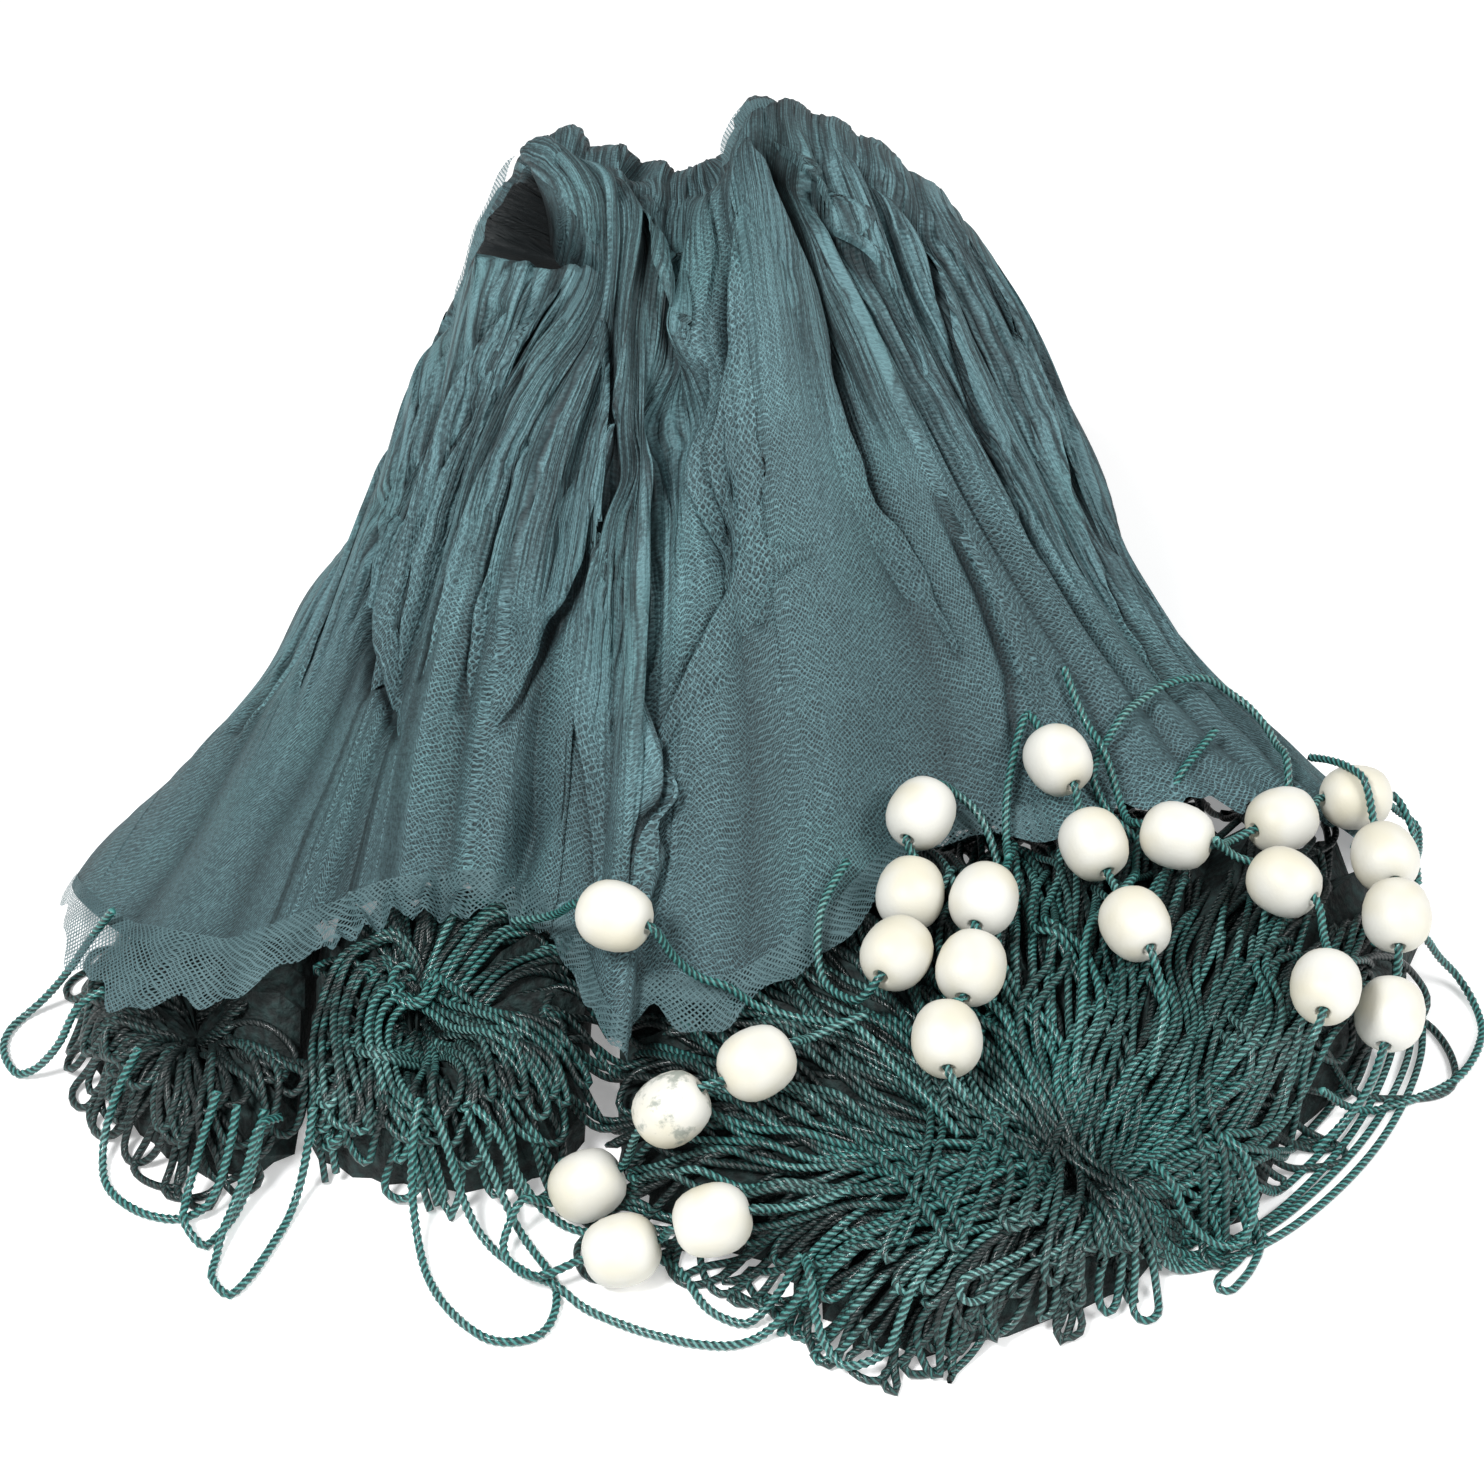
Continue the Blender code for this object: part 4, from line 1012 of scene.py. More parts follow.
def rope_material(name, colours, roughness, turns=TURNS_PER_METRE, relief=0.0012):
    """Three strands: the pattern makes so many turns in a metre, or none where the mesh turns itself."""
    made, tree, shader, place = new_material(name, roughness)
    groove_colour, crown_colour, worn_colour = colours
    across, along = split_uv(tree, "strands")
    crown = (((across - along * turns) * (6 * math.pi)).cosine() * 0.5 + 0.5).between(0.10, 0.90)
    yarn = noise(tree, place, 900.0)
    wear = noise(tree, place, 14.0, 3.0)
    colour = mixed(tree, crown, groove_colour, mixed(tree, wear.between(0.42, 0.68), crown_colour, worn_colour))
    colour = mixed(tree, yarn.between(0.3, 0.7) * 0.35, colour, groove_colour)
    # painted shade: the colour goes to UNLIT where the light attribute is low
    link(shader, "Base Color", mixed(tree, attribute(tree, "light"), UNLIT, colour))
    bump(shader, yarn * 0.3 + crown, relief)
    shader.inputs["Coat Weight"].default_value = COAT
    return made


laid_rope = rope_material("laid_rope", NEW_ROPE, 0.42, turns=0.0, relief=0.0004)
turned_rope = rope_material("laid_rope_turns", NEW_ROPE, 0.42)
# darker copies for the sheaf's low turns and for the left heap: painted shade
shaded_low_rope = rope_material("laid_rope_low_shaded", SHADED_LOW_ROPE, 0.46)
dark_rope = rope_material("laid_rope_shaded", SHADED_ROPE, 0.5)
print("materials:", laid_rope.name, turned_rope.name, shaded_low_rope.name, dark_rope.name)

# %% [markdown]
# Each heap is a hank: one long rope wound in turns and tied round the middle, so its turns leave the tie,
# bend round at the rim and come back. Hundreds of metres can't all be modelled, and only the top turns
# show. So a core painted dark, the shade inside the heap, has the heap's form, a little smaller, and real
# turns are laid over it one by one. A height map remembers what has been laid, and each new turn rests on
# it, as if dropped from above.

# %% A height map that ropes are laid on
GRID = 2.5                 # mm
GRID_LOW = np.array((-460.0, -400.0))
GRID_COUNT = (370, 216)
ROPE_BED = 15.0            # mm of laid turns over the core

grid_x = GRID_LOW[0] + GRID * np.arange(GRID_COUNT[0])
grid_y = GRID_LOW[1] + GRID * np.arange(GRID_COUNT[1])
heap_top = np.array([[top_of(heaps_below, x, y) for y in grid_y] for x in grid_x])
laid_top = np.maximum(heap_top - ROPE_BED, 0)
print("highest place of the heaps:", heap_top.max().round(1), "mm")

# %% [markdown]
# A turn rests on the highest of the cells that it touches, never sags far between two rests, and dips into
# the heap at its ends. Its colour is painted darker the deeper it lies, and where it runs into a tie, as shade.

# %% Lay one turn
TURN_DIAMETER = 4.7        # mm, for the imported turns
TURN_RADIUS = TURN_DIAMETER / 2
TURN_STEP = 4.0            # mm between the places where a turn's height is found
SAG = 0.35                 # mm that a place may lie below the middle of its neighbours
END_DIP, DIP_REACH = 9, 7  # mm that a turn's ends dip into the heap, and over what length
# cells that a rope touches round its middle's cell, and the height of its surface over its middle there
TOUCHED = [(i, j, math.sqrt(max(TURN_RADIUS**2 - (math.hypot(i, j) * GRID)**2, 0)))
           for i in range(-2, 3) for j in range(-2, 3) if math.hypot(i, j) * GRID <= TURN_RADIUS + 0.4]
# ties round which the rope is painted darker, as shade
DARK_TIES = np.array([(176.0, -258.0), (196.0, -282.0), (-322.0, -152.0)])
TIE_SHADE_REACH = 38       # mm


def grid_cell(points):
    """Cells of the height map under some places, kept off its edge."""
    cell = np.round((points[:, :2] - GRID_LOW) / GRID).astype(int)
    return np.clip(cell, 2, np.array(GRID_COUNT) - 3)


def lay_turn(flat, proud):
    """Heights for a rope along a flat path: it rests on what is laid, and may stand proud of the heap's form."""
    flat = even_path(flat, TURN_STEP)
    cell = grid_cell(flat)
    cap = np.maximum(heap_top[cell[:, 0], cell[:, 1]] - TURN_RADIUS + proud, TURN_RADIUS)
    height = np.full(len(flat), TURN_RADIUS)
    for i, j, rise in TOUCHED:
        height = np.maximum(height, laid_top[cell[:, 0] + i, cell[:, 1] + j] + rise)
    height = np.minimum(height, cap)
    for _ in range(8):
        beside = np.pad(height, 1, "edge")
        level = (beside[:-2] + beside[2:]) / 2
        height = np.minimum(np.maximum(height, level - SAG), np.maximum(cap, level))
    for _ in range(3):
        height[1:-1] = (height[:-2] + 2 * height[1:-1] + height[2:]) / 4
    to_end = TURN_STEP * np.minimum(np.arange(len(flat)), np.arange(len(flat))[::-1])
    height = np.maximum(height - END_DIP * np.exp(-to_end / DIP_REACH), TURN_RADIUS)
    for i, j, rise in TOUCHED:
        np.maximum.at(laid_top, (cell[:, 0] + i, cell[:, 1] + j), height + rise)
    return np.column_stack([flat, height])


def light_in_heap(points):
    """Painted light: 1 at the heap's surface, less for a rope that lies under others or runs into a tie, as shade."""
    cell = grid_cell(points)
    under = heap_top[cell[:, 0], cell[:, 1]] - TURN_RADIUS - points[:, 2]
    to_tie = lengths(points[:, None, :2] - DARK_TIES).min(1)
    return np.clip(1.08 - under / 6.5, 0.08, 1) * np.clip(to_tie / TIE_SHADE_REACH, 0.15, 1)


print("cells that a turn touches:", len(TOUCHED))

# %% [markdown]
# A turn seen from above is a long narrow petal: out from the tie, round a bight at the rim, and back. A
# table gives fans of petals by direction, with their number, width and bend, and a fixed random seed makes
# them as uneven as a real hank, and the same each time. The lowest ones reach past the rim and lie on the
# ground. Over the petals go bundles: ropes side by side that close up towards the tie.

# %% Fans and bundles of turns
HANK_TIE = (-190, -148)
LEFT_HEAP_TIE = (-322, -152)
SHEAF_TIE = (188, -272)
FOOT = 20                  # mm, the part of a heap below this is its foot
REACH_STEP = 6             # degrees between two readings of the foot's reach
BUNDLE_STEP = 12.0         # mm between the places of a bundle's path
chance = np.random.RandomState(7)


def spots_of(node_name):
    """Vertices of a node, in mm in the tables' frame."""
    return np.array([vertex.co[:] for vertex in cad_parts[node_name].data.vertices]) / MM + (*HEAP_CENTRE, 0)


def rim_reach(node_name, tie):
    """Reach of a heap's foot by direction in degrees, read from its node."""
    spots = spots_of(node_name) - (*tie, 0)
    spots = spots[spots[:, 2] < FOOT]
    angle = np.degrees(np.arctan2(spots[:, 1], spots[:, 0])) % 360
    reach = np.hypot(spots[:, 0], spots[:, 1])
    headings = np.arange(0, 361, REACH_STEP)
    best = [reach[np.abs((angle - heading + 180) % 360 - 180) < 5].max(initial=30) for heading in headings]
    return lambda heading: np.interp(np.asarray(heading) % 360, headings, best)


def petal(tie, reach_at, angle, wide, share, bend, start):
    """Flat path of one turn: out along a direction in degrees, round its bight and back."""
    s = np.linspace(0, 1, 29)
    out = np.sin(math.pi * s)**0.5
    reach = float(reach_at(angle)) * share
    radius = reach * (start + (1 - start) * out)
    waver = 2.2 * np.sin(2 * math.pi * 1.6 * s + chance.uniform(0, 6)) * chance.uniform(0.3, 1.6)
    swing = wide * (s - 0.5) * 2 * out + bend * (radius / reach - 0.35) + waver
    turn = np.radians(angle + swing)
    place = np.array(tie) + chance.uniform(-9, 9, 2)
    return np.column_stack([place[0] + radius * np.cos(turn), place[1] + radius * np.sin(turn)])


def fan(tie, reach_at, rows, proud=0.4):
    """Petals for table rows: from angle, to angle, count, least and most reach share, width, bend, start."""
    made = []
    for low, high, count, least, most, wide, bend, start in rows:
        batch = []
        for k in range(count):
            angle = low + (high - low) * (k + chance.uniform(0.1, 0.9)) / count
            batch.append(petal(tie, reach_at, angle, wide * chance.uniform(0.5, 1.6), chance.uniform(least, most),
                               bend + chance.uniform(-12, 12), start))
        made += [lay_turn(batch[k], proud) for k in chance.permutation(count)]
    return made


def bundle(points, count, pitch, closed, proud, bights=False, jitter=2.0):
    """Ropes side by side that close up to a share of their pitch at the last place, or bights in pairs."""
    points = even_path(points, BUNDLE_STEP)
    ahead = unit(np.gradient(points, axis=0))
    aside = np.column_stack([-ahead[:, 1], ahead[:, 0]])
    along = np.linspace(0, 1, len(points))
    width = pitch * (closed + (1 - closed) * (1 - along)**0.8)

    def track(place):
        """One rope of the bundle, so many widths beside its middle."""
        waver = jitter * np.sin(5 * along + chance.uniform(0, 6)) * chance.uniform(0.4, 1.5)
        return points + aside * (place * width + waver)[:, None]

    made = []
    for k in chance.permutation(count):
        place = k - (count - 1) / 2
        if not bights:
            made.append(lay_turn(track(place), proud))
            continue
        out, back = track(2 * place - 0.5), track(2 * place + 0.5)
        short = chance.randint(0, 3)
        far = ahead[short] * pitch * chance.uniform(0.7, 1.5)
        middle, half = (out[short] + back[short]) / 2, (out[short] - back[short]) / 2
        bight = [middle + 0.9 * half - 0.6 * far, middle - far, middle - 0.9 * half - 0.6 * far]
        made.append(lay_turn(np.concatenate([out[short:][::-1], bight, back[short:]]), proud))
    return made


def bundles(rows, proud=1.5):
    """All the ropes of table rows: count, pitch, how closed at the last place, whether in bights, places."""
    return [rope for count, pitch, closed, bights, places in rows
            for rope in bundle(places, count, pitch, closed, proud, bights)]


sheaf_reach = rim_reach("rope_sheaf", SHEAF_TIE)
hank_reach = rim_reach("rope_hank", HANK_TIE)
left_reach = rim_reach("rope_heap_left", LEFT_HEAP_TIE)
print("reach of the sheaf at 60, 120, 180 degrees:", sheaf_reach([60, 120, 180]).round(0))

# %% [markdown]
# The sheaf is the largest heap. Its turns are laid from the ground up: the rim, the low fans, the bundles
# at its left and right, and last a few that cross over the others and make it look handled.

# %% The sheaf's turns
SHEAF_RIM = [(70, 112, 24, 0.90, 1.20, 5.0, 0, 0.60), (135, 265, 40, 0.96, 1.14, 7.0, 0, 0.55),
             (265, 340, 26, 0.94, 1.10, 8.0, 0, 0.45), (340, 400, 6, 0.86, 0.97, 9.0, 0, 0.50)]
SHEAF_FANS = [
    (88, 150, 24, 0.72, 0.97, 3.0, -10, 0.10),
    (20, 88, 28, 0.72, 0.98, 3.5, 8, 0.12),
    (150, 215, 22, 0.75, 0.98, 3.5, 6, 0.10),
    (215, 300, 20, 0.70, 1.00, 7.0, 10, 0.12),
    (300, 380, 16, 0.75, 1.02, 9.0, -8, 0.15),
]
# count, pitch, how closed at the last point, whether in bights, then places
SHEAF_BUNDLES_LEFT = [
    (7, 10.5, 0.5, False, [(-66, -100), (4, -124), (62, -166), (117, -208), (152, -238), (178, -262)]),
    (8, 10.5, 0.5, False, [(-40, -150), (21, -204), (60, -240), (104, -256), (142, -260), (178, -264)]),
    (5, 10.5, 0.5, False, [(-40, -190), (0, -226), (50, -256), (95, -268), (140, -268), (176, -266)]),
    (2, 11.0, 0.4, True, [(-46, -246), (-8, -258), (44, -276), (96, -282), (140, -276), (176, -268)]),
    (3, 10.0, 0.4, True, [(42, -342), (69, -328), (107, -303), (141, -284), (176, -268)]),
    (2, 12.0, 0.4, True, [(98, -352), (114, -342), (140, -326), (170, -308), (190, -286)]),
    (3, 7.0, 0.8, False, [(26, -352), (34, -334), (52, -322), (76, -322), (104, -318), (140, -302), (176, -280)]),
    (3, 6.5, 0.7, False, [(-101, -259), (-45, -279), (10, -288), (53, -293), (86, -298), (119, -283), (172, -268)]),
    (2, 6.5, 0.7, False, [(-96, -250), (-40, -272), (14, -290), (58, -284), (92, -276), (128, -280), (176, -272)]),
]
SHEAF_BUNDLES_RIGHT = [
    (6, 12.0, 0.5, False, [(150, -40), (163, -110), (163, -175), (170, -225), (184, -252)]),
    (6, 13.0, 0.5, False, [(200, -30), (192, -100), (182, -160), (184, -215), (194, -262)]),
    (6, 12.0, 0.5, False, [(255, -40), (236, -110), (214, -172), (206, -225), (204, -272)]),
    (5, 13.0, 0.5, False, [(325, -60), (300, -130), (262, -190), (232, -238), (208, -280)]),
    (4, 8.5, 0.5, False, [(404, -104), (394, -146), (366, -198), (328, -244), (286, -280), (240, -300), (202, -294)]),
    (5, 9.0, 0.4, False, [(358, -140), (322, -192), (291, -236), (262, -268), (230, -288), (196, -290)]),
    (5, 9.0, 0.4, False, [(322, -130), (298, -196), (272, -238), (234, -268), (196, -284)]),
    (5, 9.0, 0.4, False, [(304, -110), (286, -165), (258, -213), (230, -240), (196, -276)]),
    (2, 12.0, 0.4, True, [(286, -272), (258, -288), (224, -294), (192, -288)]),
    (2, 9.0, 0.6, True, [(262, -306), (276, -286), (262, -268), (234, -264), (205, -276)]),
    (2, 11.0, 0.5, True, [(206, -338), (212, -320), (204, -302), (192, -286)]),
    (3, 6.0, 0.7, False, [(372, -92), (345, -150), (300, -200), (252, -228), (206, -258)]),
]
# turns that cross over the others, some with their bight at the rim, which is their first place
SHEAF_BIGHTS = [
    [(92, -358), (100, -345), (124, -300), (138, -262), (150, -232)],
    [(150, -330), (176, -262), (196, -215), (226, -150), (262, -70)],
    [(214, -326), (196, -262), (216, -205), (222, -150), (214, -92)],
    [(168, -330), (180, -272), (158, -216), (118, -170)],
    [(236, -318), (196, -272), (150, -232), (120, -196), (96, -150)],
    [(262, -308), (262, -280), (256, -222), (280, -168), (330, -120)],
    [(140, -336), (150, -280), (112, -236), (40, -190), (-20, -170)],
    [(72, -346), (96, -302), (108, -240), (96, -176), (60, -118)],
    [(120, -346), (90, -290), (36, -232), (-30, -222)],
]
SHEAF_STRAYS = [
    [(176, -110), (206, -168), (222, -222), (206, -268)],
    [(24, -136), (60, -214), (112, -246), (176, -250)],
    [(376, -130), (330, -176), (300, -236), (240, -262), (200, -290)],
    [(292, -64), (262, -130), (258, -196), (224, -262)],
    [(130, -96), (140, -160), (126, -220), (150, -262)],
    [(108, -171), (139, -177), (157, -207), (178, -239), (189, -270)],
    [(155, -68), (143, -119), (154, -167), (175, -194), (187, -229), (190, -262)],
    [(213, -70), (227, -128), (212, -170), (189, -205), (190, -242)],
    [(273, -91), (254, -132), (257, -179), (237, -212), (207, -242)],
    [(165, -30), (185, -74), (184, -143), (164, -181), (171, -224), (185, -262)],
    [(238, -83), (216, -119), (220, -172), (200, -207), (201, -239)],
    [(292, -130), (274, -174), (281, -210), (251, -235), (218, -252)],
    [(73, -174), (106, -204), (138, -206), (162, -235), (184, -268)],
    [(259, -58), (237, -91), (237, -141), (246, -175), (220, -213), (201, -244)],
    [(191, -65), (174, -119), (194, -138), (200, -179), (180, -216), (188, -254)],
    [(133, -60), (113, -115), (120, -158), (147, -184), (162, -226), (182, -264)],
    [(329, -83), (301, -142), (304, -184), (282, -215), (246, -242), (204, -280)],
]
sheaf_low = fan(SHEAF_TIE, sheaf_reach, SHEAF_RIM) + fan(SHEAF_TIE, sheaf_reach, SHEAF_FANS, proud=-5.5)
sheaf_left = bundles(SHEAF_BUNDLES_LEFT)
sheaf_right = bundles(SHEAF_BUNDLES_RIGHT) + bundles([(2, 9.0, 0.8, False, places) for places in SHEAF_STRAYS], 6.0)
sheaf_right += bundles([(1, 11.0, 0.7, True, places) for places in SHEAF_BIGHTS], 6.0)
print("turns on the sheaf:", len(sheaf_low) + len(sheaf_left) + len(sheaf_right))

# %% [markdown]
# The hank is tied with its own rope. Its knot is a short band of turns that goes round the others, laid
# last and with little jitter, so it looks pulled tight.

# %% The hank's turns
HANK_RIM = [(170, 390, 26, 0.94, 1.08, 10.0, 0, 0.50)]
HANK_FANS = [
    (-60, 40, 18, 0.75, 0.99, 6.0, 14, 0.15),
    (40, 130, 14, 0.75, 0.97, 5.0, -16, 0.15),
    (130, 230, 14, 0.70, 0.98, 7.0, -10, 0.2),
    (230, 300, 12, 0.75, 1.02, 8.0, 0, 0.2),
]
HANK_BUNDLES = [
    (7, 6.4, 0.45, False, [(-218, -238), (-225, -210), (-231, -176), (-227, -145), (-212, -127), (-200, -131),
                           (-192, -143)]),
    (3, 6.0, 0.6, False, [(-202, -236), (-208, -204), (-210, -172), (-204, -152), (-195, -145)]),
    (7, 8.5, 0.35, False, [(-84, -118), (-112, -96), (-144, -98), (-166, -126), (-182, -152)]),
    (5, 8.5, 0.5, False, [(-72, -146), (-104, -136), (-134, -144), (-162, -166)]),
    (3, 8.5, 0.5, True, [(-98, -232), (-106, -214), (-122, -196), (-148, -182)]),
    (3, 8.5, 0.5, True, [(-144, -246), (-140, -236), (-146, -208), (-164, -180)]),
]
HANK_KNOT = [
    (4, 5.6, 1.0, [(-192, -140), (-177, -155), (-160, -171), (-140, -187), (-124, -196)]),
    (2, 5.4, 1.0, [(-190, -133), (-202, -141), (-201, -153), (-190, -159), (-181, -150), (-184, -136)]),
    (3, 5.4, 0.9, [(-192, -147), (-206, -162), (-209, -183), (-203, -203), (-198, -219), (-190, -234), (-180, -248),
                   (-172, -262)]),
    (3, 5.4, 1.0, [(-218, -188), (-203, -200), (-187, -186)]),
    (3, 5.4, 1.0, [(-204, -224), (-187, -241), (-168, -240)]),
]
hank_turns = fan(HANK_TIE, hank_reach, HANK_RIM) + fan(HANK_TIE, hank_reach, HANK_FANS, proud=-5.0)
hank_turns += bundles(HANK_BUNDLES)
for count, pitch, closed, places in HANK_KNOT:
    hank_turns += bundle(places, count, pitch, closed, proud=10.0, jitter=0.5)
print("turns on the hank:", len(hank_turns))

# %% [markdown]
# The left heap lies in the netting's shade, and its turns are looser: wide petals in all directions.

# %% The left heap's turns
LEFT_FANS = [(120, 300, 16, 0.98, 1.22, 20.0, 0, 0.5), (0, 360, 34, 0.72, 1.0, 14.0, 12, 0.2),
             (150, 330, 12, 0.85, 1.08, 22.0, -10, 0.3)]
left_turns = fan(LEFT_HEAP_TIE, left_reach, LEFT_FANS)
print("turns on the left heap:", len(left_turns))

# %% [markdown]
# Between the turns one looks into the heap, where it is in shade, so there has to be something dark: the
# core is painted shade. It is a copy of the heap's node, narrower and lower by most of the bed of turns.

# %% Dark cores
CORE_WIDTH = 0.95          # of the heap's own width
CORE_SINK = 0.9            # of the bed of turns
CORE_FOOT = 0.0004         # metres that it stays off the ground

# near-black noise: painted shade inside the heap
painted_heap_shade, tree, shader, place = new_material("rope_in_the_dark", 0.8)
murk = noise(tree, place, 160.0, 3.0)
link(shader, "Base Color", mixed(tree, murk.between(0.4, 0.65), (0.003, 0.008, 0.008), (0.010, 0.028, 0.027)))
bump(shader, murk, 0.003)


def merge_vertices(thing, distance):
    """Join the vertices of an object that lie at the same place."""
    bpy.context.view_layer.objects.active = thing
    bpy.ops.object.mode_set(mode="EDIT")
    bpy.ops.mesh.select_all(action="SELECT")
    bpy.ops.mesh.remove_doubles(threshold=distance)
    bpy.ops.object.mode_set(mode="OBJECT")


def heap_core(name, node_name, tie):
    """The heap's own form, a little smaller, painted dark as the shade inside."""
    bpy.ops.object.select_all(action="DESELECT")
    core = bpy.data.objects.new(name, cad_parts[node_name].data.copy())
    scene.collection.objects.link(core)
    core.select_set(True)
    merge_vertices(core, 1e-5)
    middle_x, middle_y = (np.array(tie, float) - HEAP_CENTRE) * MM
    for vertex in core.data.vertices:
        vertex.co.x = middle_x + (vertex.co.x - middle_x) * CORE_WIDTH
        vertex.co.y = middle_y + (vertex.co.y - middle_y) * CORE_WIDTH
        vertex.co.z = max(vertex.co.z - ROPE_BED * MM * CORE_SINK, CORE_FOOT)
    core.data.materials.clear()
    core.data.materials.append(painted_heap_shade)
    bpy.ops.object.select_all(action="DESELECT")
    return core


print("material:", painted_heap_shade.name)

# %% [markdown]
# All the turns of a heap are one piece, or three at the sheaf, and each heap has one core.

# %% Cores and turns as pieces
# the piece, its node, its turns, their material, mm between two rings, its core and the tie
HEAP_TURNS = [("sheaf_turns_low", "rope_sheaf", sheaf_low, shaded_low_rope, 5.0, "sheaf_core", SHEAF_TIE),
              ("sheaf_turns_left", "rope_sheaf", sheaf_left, turned_rope, 4.2, None, SHEAF_TIE),
              ("sheaf_turns_right", "rope_sheaf", sheaf_right, turned_rope, 4.2, None, SHEAF_TIE),
              ("hank_turns", "rope_hank", hank_turns, turned_rope, 4.2, "hank_core", HANK_TIE),
              ("left_heap_turns", "rope_heap_left", left_turns, dark_rope, 5.0, "left_heap_core", LEFT_HEAP_TIE)]

for name, node_name, turns, look, spacing, core_name, tie in HEAP_TURNS:
    thing, _ = rope_mesh(name, turns, look, spacing, TURN_DIAMETER, groove=1.0, lay=math.inf, light_at=light_in_heap)
    for piece in [thing] + ([heap_core(core_name, node_name, tie)] if core_name else []):
        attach(piece, "root")
        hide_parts(node_name)
    print(name, "triangles:", sum(len(face.vertices) - 2 for face in thing.data.polygons))

# %% [markdown]
# At its hems the netting is a single layer, and one sees through it. A strip of sheer netting carries on
# from the hem over the ropes, and others stand at the outer edges of the hood, where light shows through.

# %% Sheer strips
HEM_START = 0.982          # v where the strip leaves the netting
HEM_COLUMNS = 22           # in a pleat
# pleat, how far the hem falls past the main netting there (mm)
HEM_FALL = np.array([(0.3, 8), (1.0, 26), (1.8, 40), (2.6, 34), (3.3, 24), (4.2, 22), (5.2, 18), (6.2, 12), (6.9, 6),
                     (7.6, 12), (8.6, 14), (9.6, 9), (10.6, 20), (11.8, 30), (13.0, 34), (14.2, 28), (15.4, 10)])
EDGE_ROW = 4.0             # mm between two rows of an edge strip
HOOD_EDGE = [(0.347, 0.385), (0.334, 0.42), (0.320, 0.45), (0.310, 0.49), (0.300, 0.53)]
CREST_EDGE = [(0.568, 0.34), (0.553, 0.36), (0.540, 0.385), (0.530, 0.41)]


def hem_strip(first, last):
    """Grid of places that starts on the netting and goes on past its hem, over what lies below."""
    pleat = np.linspace(first, last, round((last - first) * HEM_COLUMNS))
    inner, _, _, _ = netting_row(HEM_START, pleat, fine=False)
    edge, _, _, _ = netting_row(1.0, pleat, fine=False)
    away = unit((edge - inner) * (1, 1, 0))
    reach = lengths(edge - inner)
    uneven = 5.0 * np.sin(pleat * 7.1) + 3.0 * np.sin(pleat * 17.3 + 1)
    fall = np.clip(np.interp(pleat, *HEM_FALL.T) + uneven, 4, 60)
    rows = []
    for share in np.linspace(0, 1, 14):
        far = share * (reach + fall)
        flat = inner + away * far[:, None]
        inside = np.clip(far / reach, 0, 1)[:, None]
        height = (inner * (1 - inside) + edge * inside)[:, 2] + 2.0 * np.sin(pleat * 9.0) * share
        height = height - 0.35 * np.clip(far - reach, 0, None)
        below = np.array([top_of(heaps_below, x, y) for x, y, _ in flat])
        flat[:, 2] = np.maximum(height, below + 2.5) + 1.8
        counts = np.stack([meshes_at(pleat), far / MESH_PITCH], -1)
        # painted shade, darker between the pleats, which the right hem's netting material reads
        rows.append((flat, 0.75 + 0.25 * np.abs(np.cos(math.pi * pleat)), np.ones(len(pleat)), counts))
    return stacked(rows)


def edge_strip(places, wide):
    """A narrow strip along u, v places that stands out from the netting to their left."""
    route = even_route(places, EDGE_ROW)
    rows = []
    for row, spot in enumerate(route[:, :, None]):
        body = mound(*spot)[0]
        out, across = (value[0] for value in mound_axes(*spot))
        taper = math.sin(math.pi * min(max(row / (len(route) - 1), 0.04), 0.96))**0.5
        far = np.linspace(-6, wide, 7)[:, None] * taper
        counts = np.stack([far[:, 0], np.full(7, row * EDGE_ROW)], -1) * 1.7 / MESH_PITCH
        rows.append((body + out * (2 + 0.2 * far + 0.8 * math.sin(row)) - across * far, np.full(7, 0.95),
                     np.ones(7), counts))
    return stacked(rows)


netting_hem = sheet_of_strips("netting_hem", [hem_strip(0.25, 6.6), hem_strip(6.4, 9.9)])
netting_hem_right = sheet_of_strips("netting_hem_right", [hem_strip(9.7, 15.7)])
netting_edges = sheet_of_strips("netting_edges", [edge_strip(HOOD_EDGE, 12), edge_strip(CREST_EDGE, 13)])
print("sheer strips:", netting_hem.name, netting_edges.name)

# %% [markdown]
# The sheer strips have the same lattice as the netting, with real holes. Two layers of it are laid over
# each other, so the strip is closed in some places and open in others.

# %% Sheer netting
SHEER_DARK, SHEER_LIGHT = (0.030, 0.066, 0.074), (0.092, 0.168, 0.182)

sheer_netting, tree, shader, place = new_material("sheer_netting", 0.7)
across, down = split_uv(tree, "meshes")
wobble = noise(tree, place, 60.0) * 1.2
upper_twine = lattice(across + wobble, down - wobble * 0.7, 0.52)
lower_twine = lattice(across * 0.9 - wobble, down * 1.1, 0.30)
link(shader, "Base Color", mixed(tree, noise(tree, place, 40.0), SHEER_DARK, SHEER_LIGHT))
link(shader, "Alpha", upper_twine.larger(lower_twine * 0.8) * 0.95)

netting_piece(netting_hem, sheer_netting)
netting_piece(netting_hem_right, netting_twine)
netting_piece(netting_edges, sheer_netting)

# %% [markdown]
# The free ropes lie where their nodes lie. A node is a plain tube of rings: its short edges run round a
# ring and its long ones join two rings. Walking from ring to ring gives the rope's middle line, and the
# laid rope follows that line.

# %% Middle line of a rope's node
RING_EDGE = 0.45 * ROPE_DIAMETER    # edges of a node shorter than this run round a ring


def node_edges(node_name):
    """Places of a node's vertices, each once, and its edges as pairs of them."""
    spots = spots_of(node_name)
    _, first, same = np.unique(spots.round(3), axis=0, return_index=True, return_inverse=True)
    same = same.reshape(-1)
    edges = {tuple(sorted((int(same[a]), int(same[b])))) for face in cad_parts[node_name].data.polygons
             for a, b in zip(face.vertices, list(face.vertices[1:]) + [face.vertices[0]])}
    return spots[first], edges


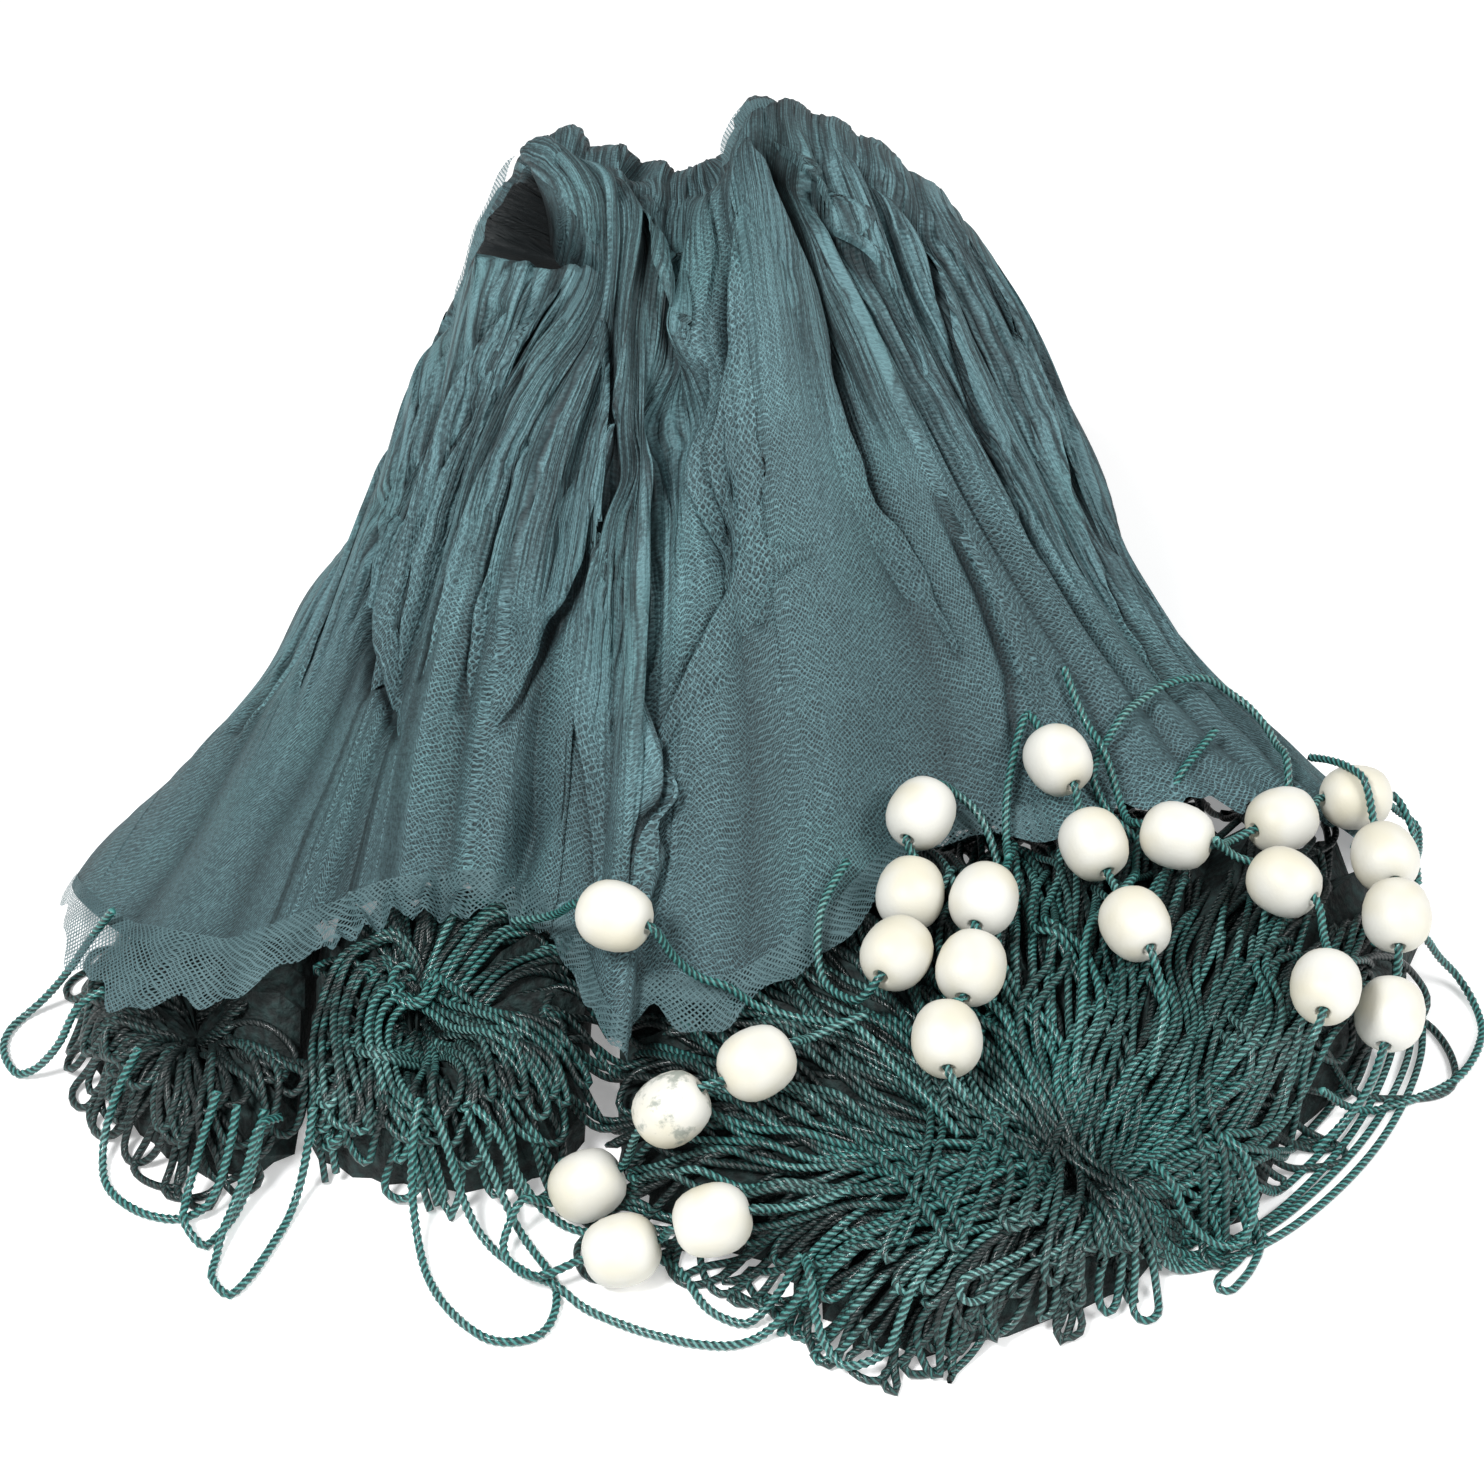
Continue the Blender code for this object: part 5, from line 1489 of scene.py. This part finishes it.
def rings_of(spots, edges):
    """For each place, the number of the ring that it is in."""
    leader = list(range(len(spots)))

    def leader_of(k):
        """Follow the leaders to the one that leads itself."""
        while leader[k] != k:
            k = leader[k]
        return k

    for a, b in edges:
        if np.linalg.norm(spots[a] - spots[b]) < RING_EDGE:
            leader[leader_of(a)] = leader_of(b)
    return np.array([leader_of(k) for k in range(len(spots))])


def middle_line(node_name):
    """Middles of a tube's rings in order, in mm in the tables' frame."""
    spots, edges = node_edges(node_name)
    ring = rings_of(spots, edges)
    names = np.unique(ring)
    middle = {k: spots[ring == k].mean(0) for k in names}
    beside = {k: set() for k in names}
    for a, b in edges:
        if ring[a] != ring[b]:
            beside[ring[a]].add(ring[b])
            beside[ring[b]].add(ring[a])
    here = min(k for k in names if len(beside[k]) == 1)
    line, seen = [middle[here]], {here}
    while onward := [k for k in beside[here] if k not in seen]:
        here = onward[0]
        seen.add(here)
        line.append(middle[here])
    return np.array(line)


print("line_hank has", len(middle_line("line_hank")), "rings")

# %% [markdown]
# An egg float is turned: a profile spun round its bore, a little blunter at one end than at the other. The
# profile goes round to its own start, so the spun form is closed and its bore is open at both ends.

# %% One float
FLOAT_RADIUS = 20.0
FLOAT_HALF = 21.0
BORE_RADIUS = 4.5
FLOAT_STEPS = 30
# place along the bore and distance from it, from one mouth round the outside to the other, as shares
FLOAT_PROFILE = [(1.0, 0.0), (1.0, 0.06), (0.985, 0.22), (0.93, 0.40), (0.80, 0.66), (0.60, 0.83), (0.32, 0.955),
                 (0.0, 1.0), (-0.25, 0.985), (-0.48, 0.91), (-0.68, 0.77), (-0.84, 0.57), (-0.94, 0.36),
                 (-0.985, 0.20), (-1.0, 0.06), (-1.0, 0.0)]


def egg_float(name, middle, heading, material):
    """Spin the profile round X, then turn and move the mesh to its place."""
    bpy.ops.mesh.primitive_plane_add(size=1.0)
    thing = bpy.context.object
    thing.name = name
    mesh = thing.data
    mesh.clear_geometry()
    along, out = np.array(FLOAT_PROFILE).T
    out = BORE_RADIUS + (FLOAT_RADIUS - BORE_RADIUS) * out
    count = len(FLOAT_PROFILE)
    mesh.from_pydata([(x, 0, r) for x, r in zip(along * FLOAT_HALF, out)],
                     [(k, (k + 1) % count) for k in range(count)], [])
    turn = thing.modifiers.new("turn", "SCREW")
    turn.axis = "X"
    turn.steps = turn.render_steps = FLOAT_STEPS
    turn.use_merge_vertices = True
    turn.merge_threshold = 1e-4
    bpy.ops.object.modifier_apply(modifier=turn.name)
    merge_vertices(thing, 1e-4)
    bpy.ops.object.mode_set(mode="EDIT")
    bpy.ops.mesh.select_all(action="SELECT")
    bpy.ops.mesh.normals_make_consistent(inside=False)
    bpy.ops.object.mode_set(mode="OBJECT")
    bpy.ops.object.shade_smooth()
    turned = np.array(Vector(heading).to_track_quat("X", "Z").to_matrix())
    place_all(thing, np.array([vertex.co[:] for vertex in mesh.vertices]) @ turned.T + middle)
    mesh.materials.clear()
    mesh.materials.append(material)
    thing.select_set(False)
    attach(thing, "root")
    return thing


print("float profile points:", len(FLOAT_PROFILE))

# %% [markdown]
# The floats are of one blown foam, off-white and satin, with fine pores. Its tint goes cream in places,
# spread by noise: partly stain, partly painted shade. One float has lain in the dirt, and has patches of soil.

# %% Float foam
FOAM, CREAM_FOAM, SOIL = (0.64, 0.635, 0.59), (0.59, 0.56, 0.45), (0.20, 0.23, 0.20)


def foam_material(name, dirt):
    """Satin foam with tiny pores, uneven in tint, with soil where the noise is above a threshold."""
    made, tree, shader, place = new_material(name, 0.5)
    pores = noise(tree, place, 700.0)
    tint = noise(tree, place, 26.0)
    soil = noise(tree, place, 75.0, 5.0, 0.65)
    # a cream tint by noise: partly stain, partly painted shade
    base = mixed(tree, tint.between(0.35, 0.7), FOAM, CREAM_FOAM)
    link(shader, "Base Color", mixed(tree, soil.between(0.72 - dirt, 0.86 - dirt) * 0.8, base, SOIL))
    bump(shader, pores, 0.0002, 0.5)
    return made


white_float = foam_material("white_float", 0.0)
soiled_float = foam_material("soiled_float", 0.22)
print("materials:", white_float.name, soiled_float.name)

# %% [markdown]
# Each free rope is a laid rope along its node's middle line, with the floats that are threaded on it. A
# float sits where its own node sits, and is turned to the rope there. The rope runs a little above the
# middle of the bore, because the float hangs on it.

# %% The free ropes and their floats
ROPE_IN_BORE = 1.0         # mm that a float's middle lies below its rope's
MOST_FLOATS = 8            # on one line
LINES = ("line_hank", "line_ring", "line_column", "line_beside", "line_right", "line_top", "line_edge", "line_inner")
LOOPS = ("loop_far_left", "loop_left_round", "loop_left_long", "loop_left_low", "loop_big", "run_outer", "run_inner",
         "loop_tip", "loop_corner", "loop_right", "arc_upper", "arc_over", "loop_right_small")


def threaded_floats(node_name, line):
    """The floats on a line, each in its own node's place."""
    floats = []
    for k in range(1, MOST_FLOATS + 1):
        float_node = f"float_{node_name.split('_', 1)[1]}_{k}"
        if not node_name.startswith("line_") or float_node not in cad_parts:
            break
        low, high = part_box(float_node)
        middle = np.array((low + high) / 2) / MM + (*HEAP_CENTRE, 0)
        at = int(np.argmin(lengths(line - middle)))
        heading = unit(line[at + 1] - line[at - 1])
        look = soiled_float if float_node == "float_ring_2" else white_float
        made = egg_float(float_node.replace("float_", "egg_float_"), line[at] - (0, 0, ROPE_IN_BORE), heading, look)
        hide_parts(float_node)
        floats.append(made)
    return floats


def free_rope(node_name):
    """A laid rope in its node's place, with the floats that are threaded on it."""
    line = middle_line(node_name)
    thing, (path,) = rope_mesh(node_name.replace("line_", "float_line_"), [line], laid_rope)
    floats = threaded_floats(node_name, line)
    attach(thing, "root")
    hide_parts(node_name)


for node_name in LINES + LOOPS:
    free_rope(node_name)
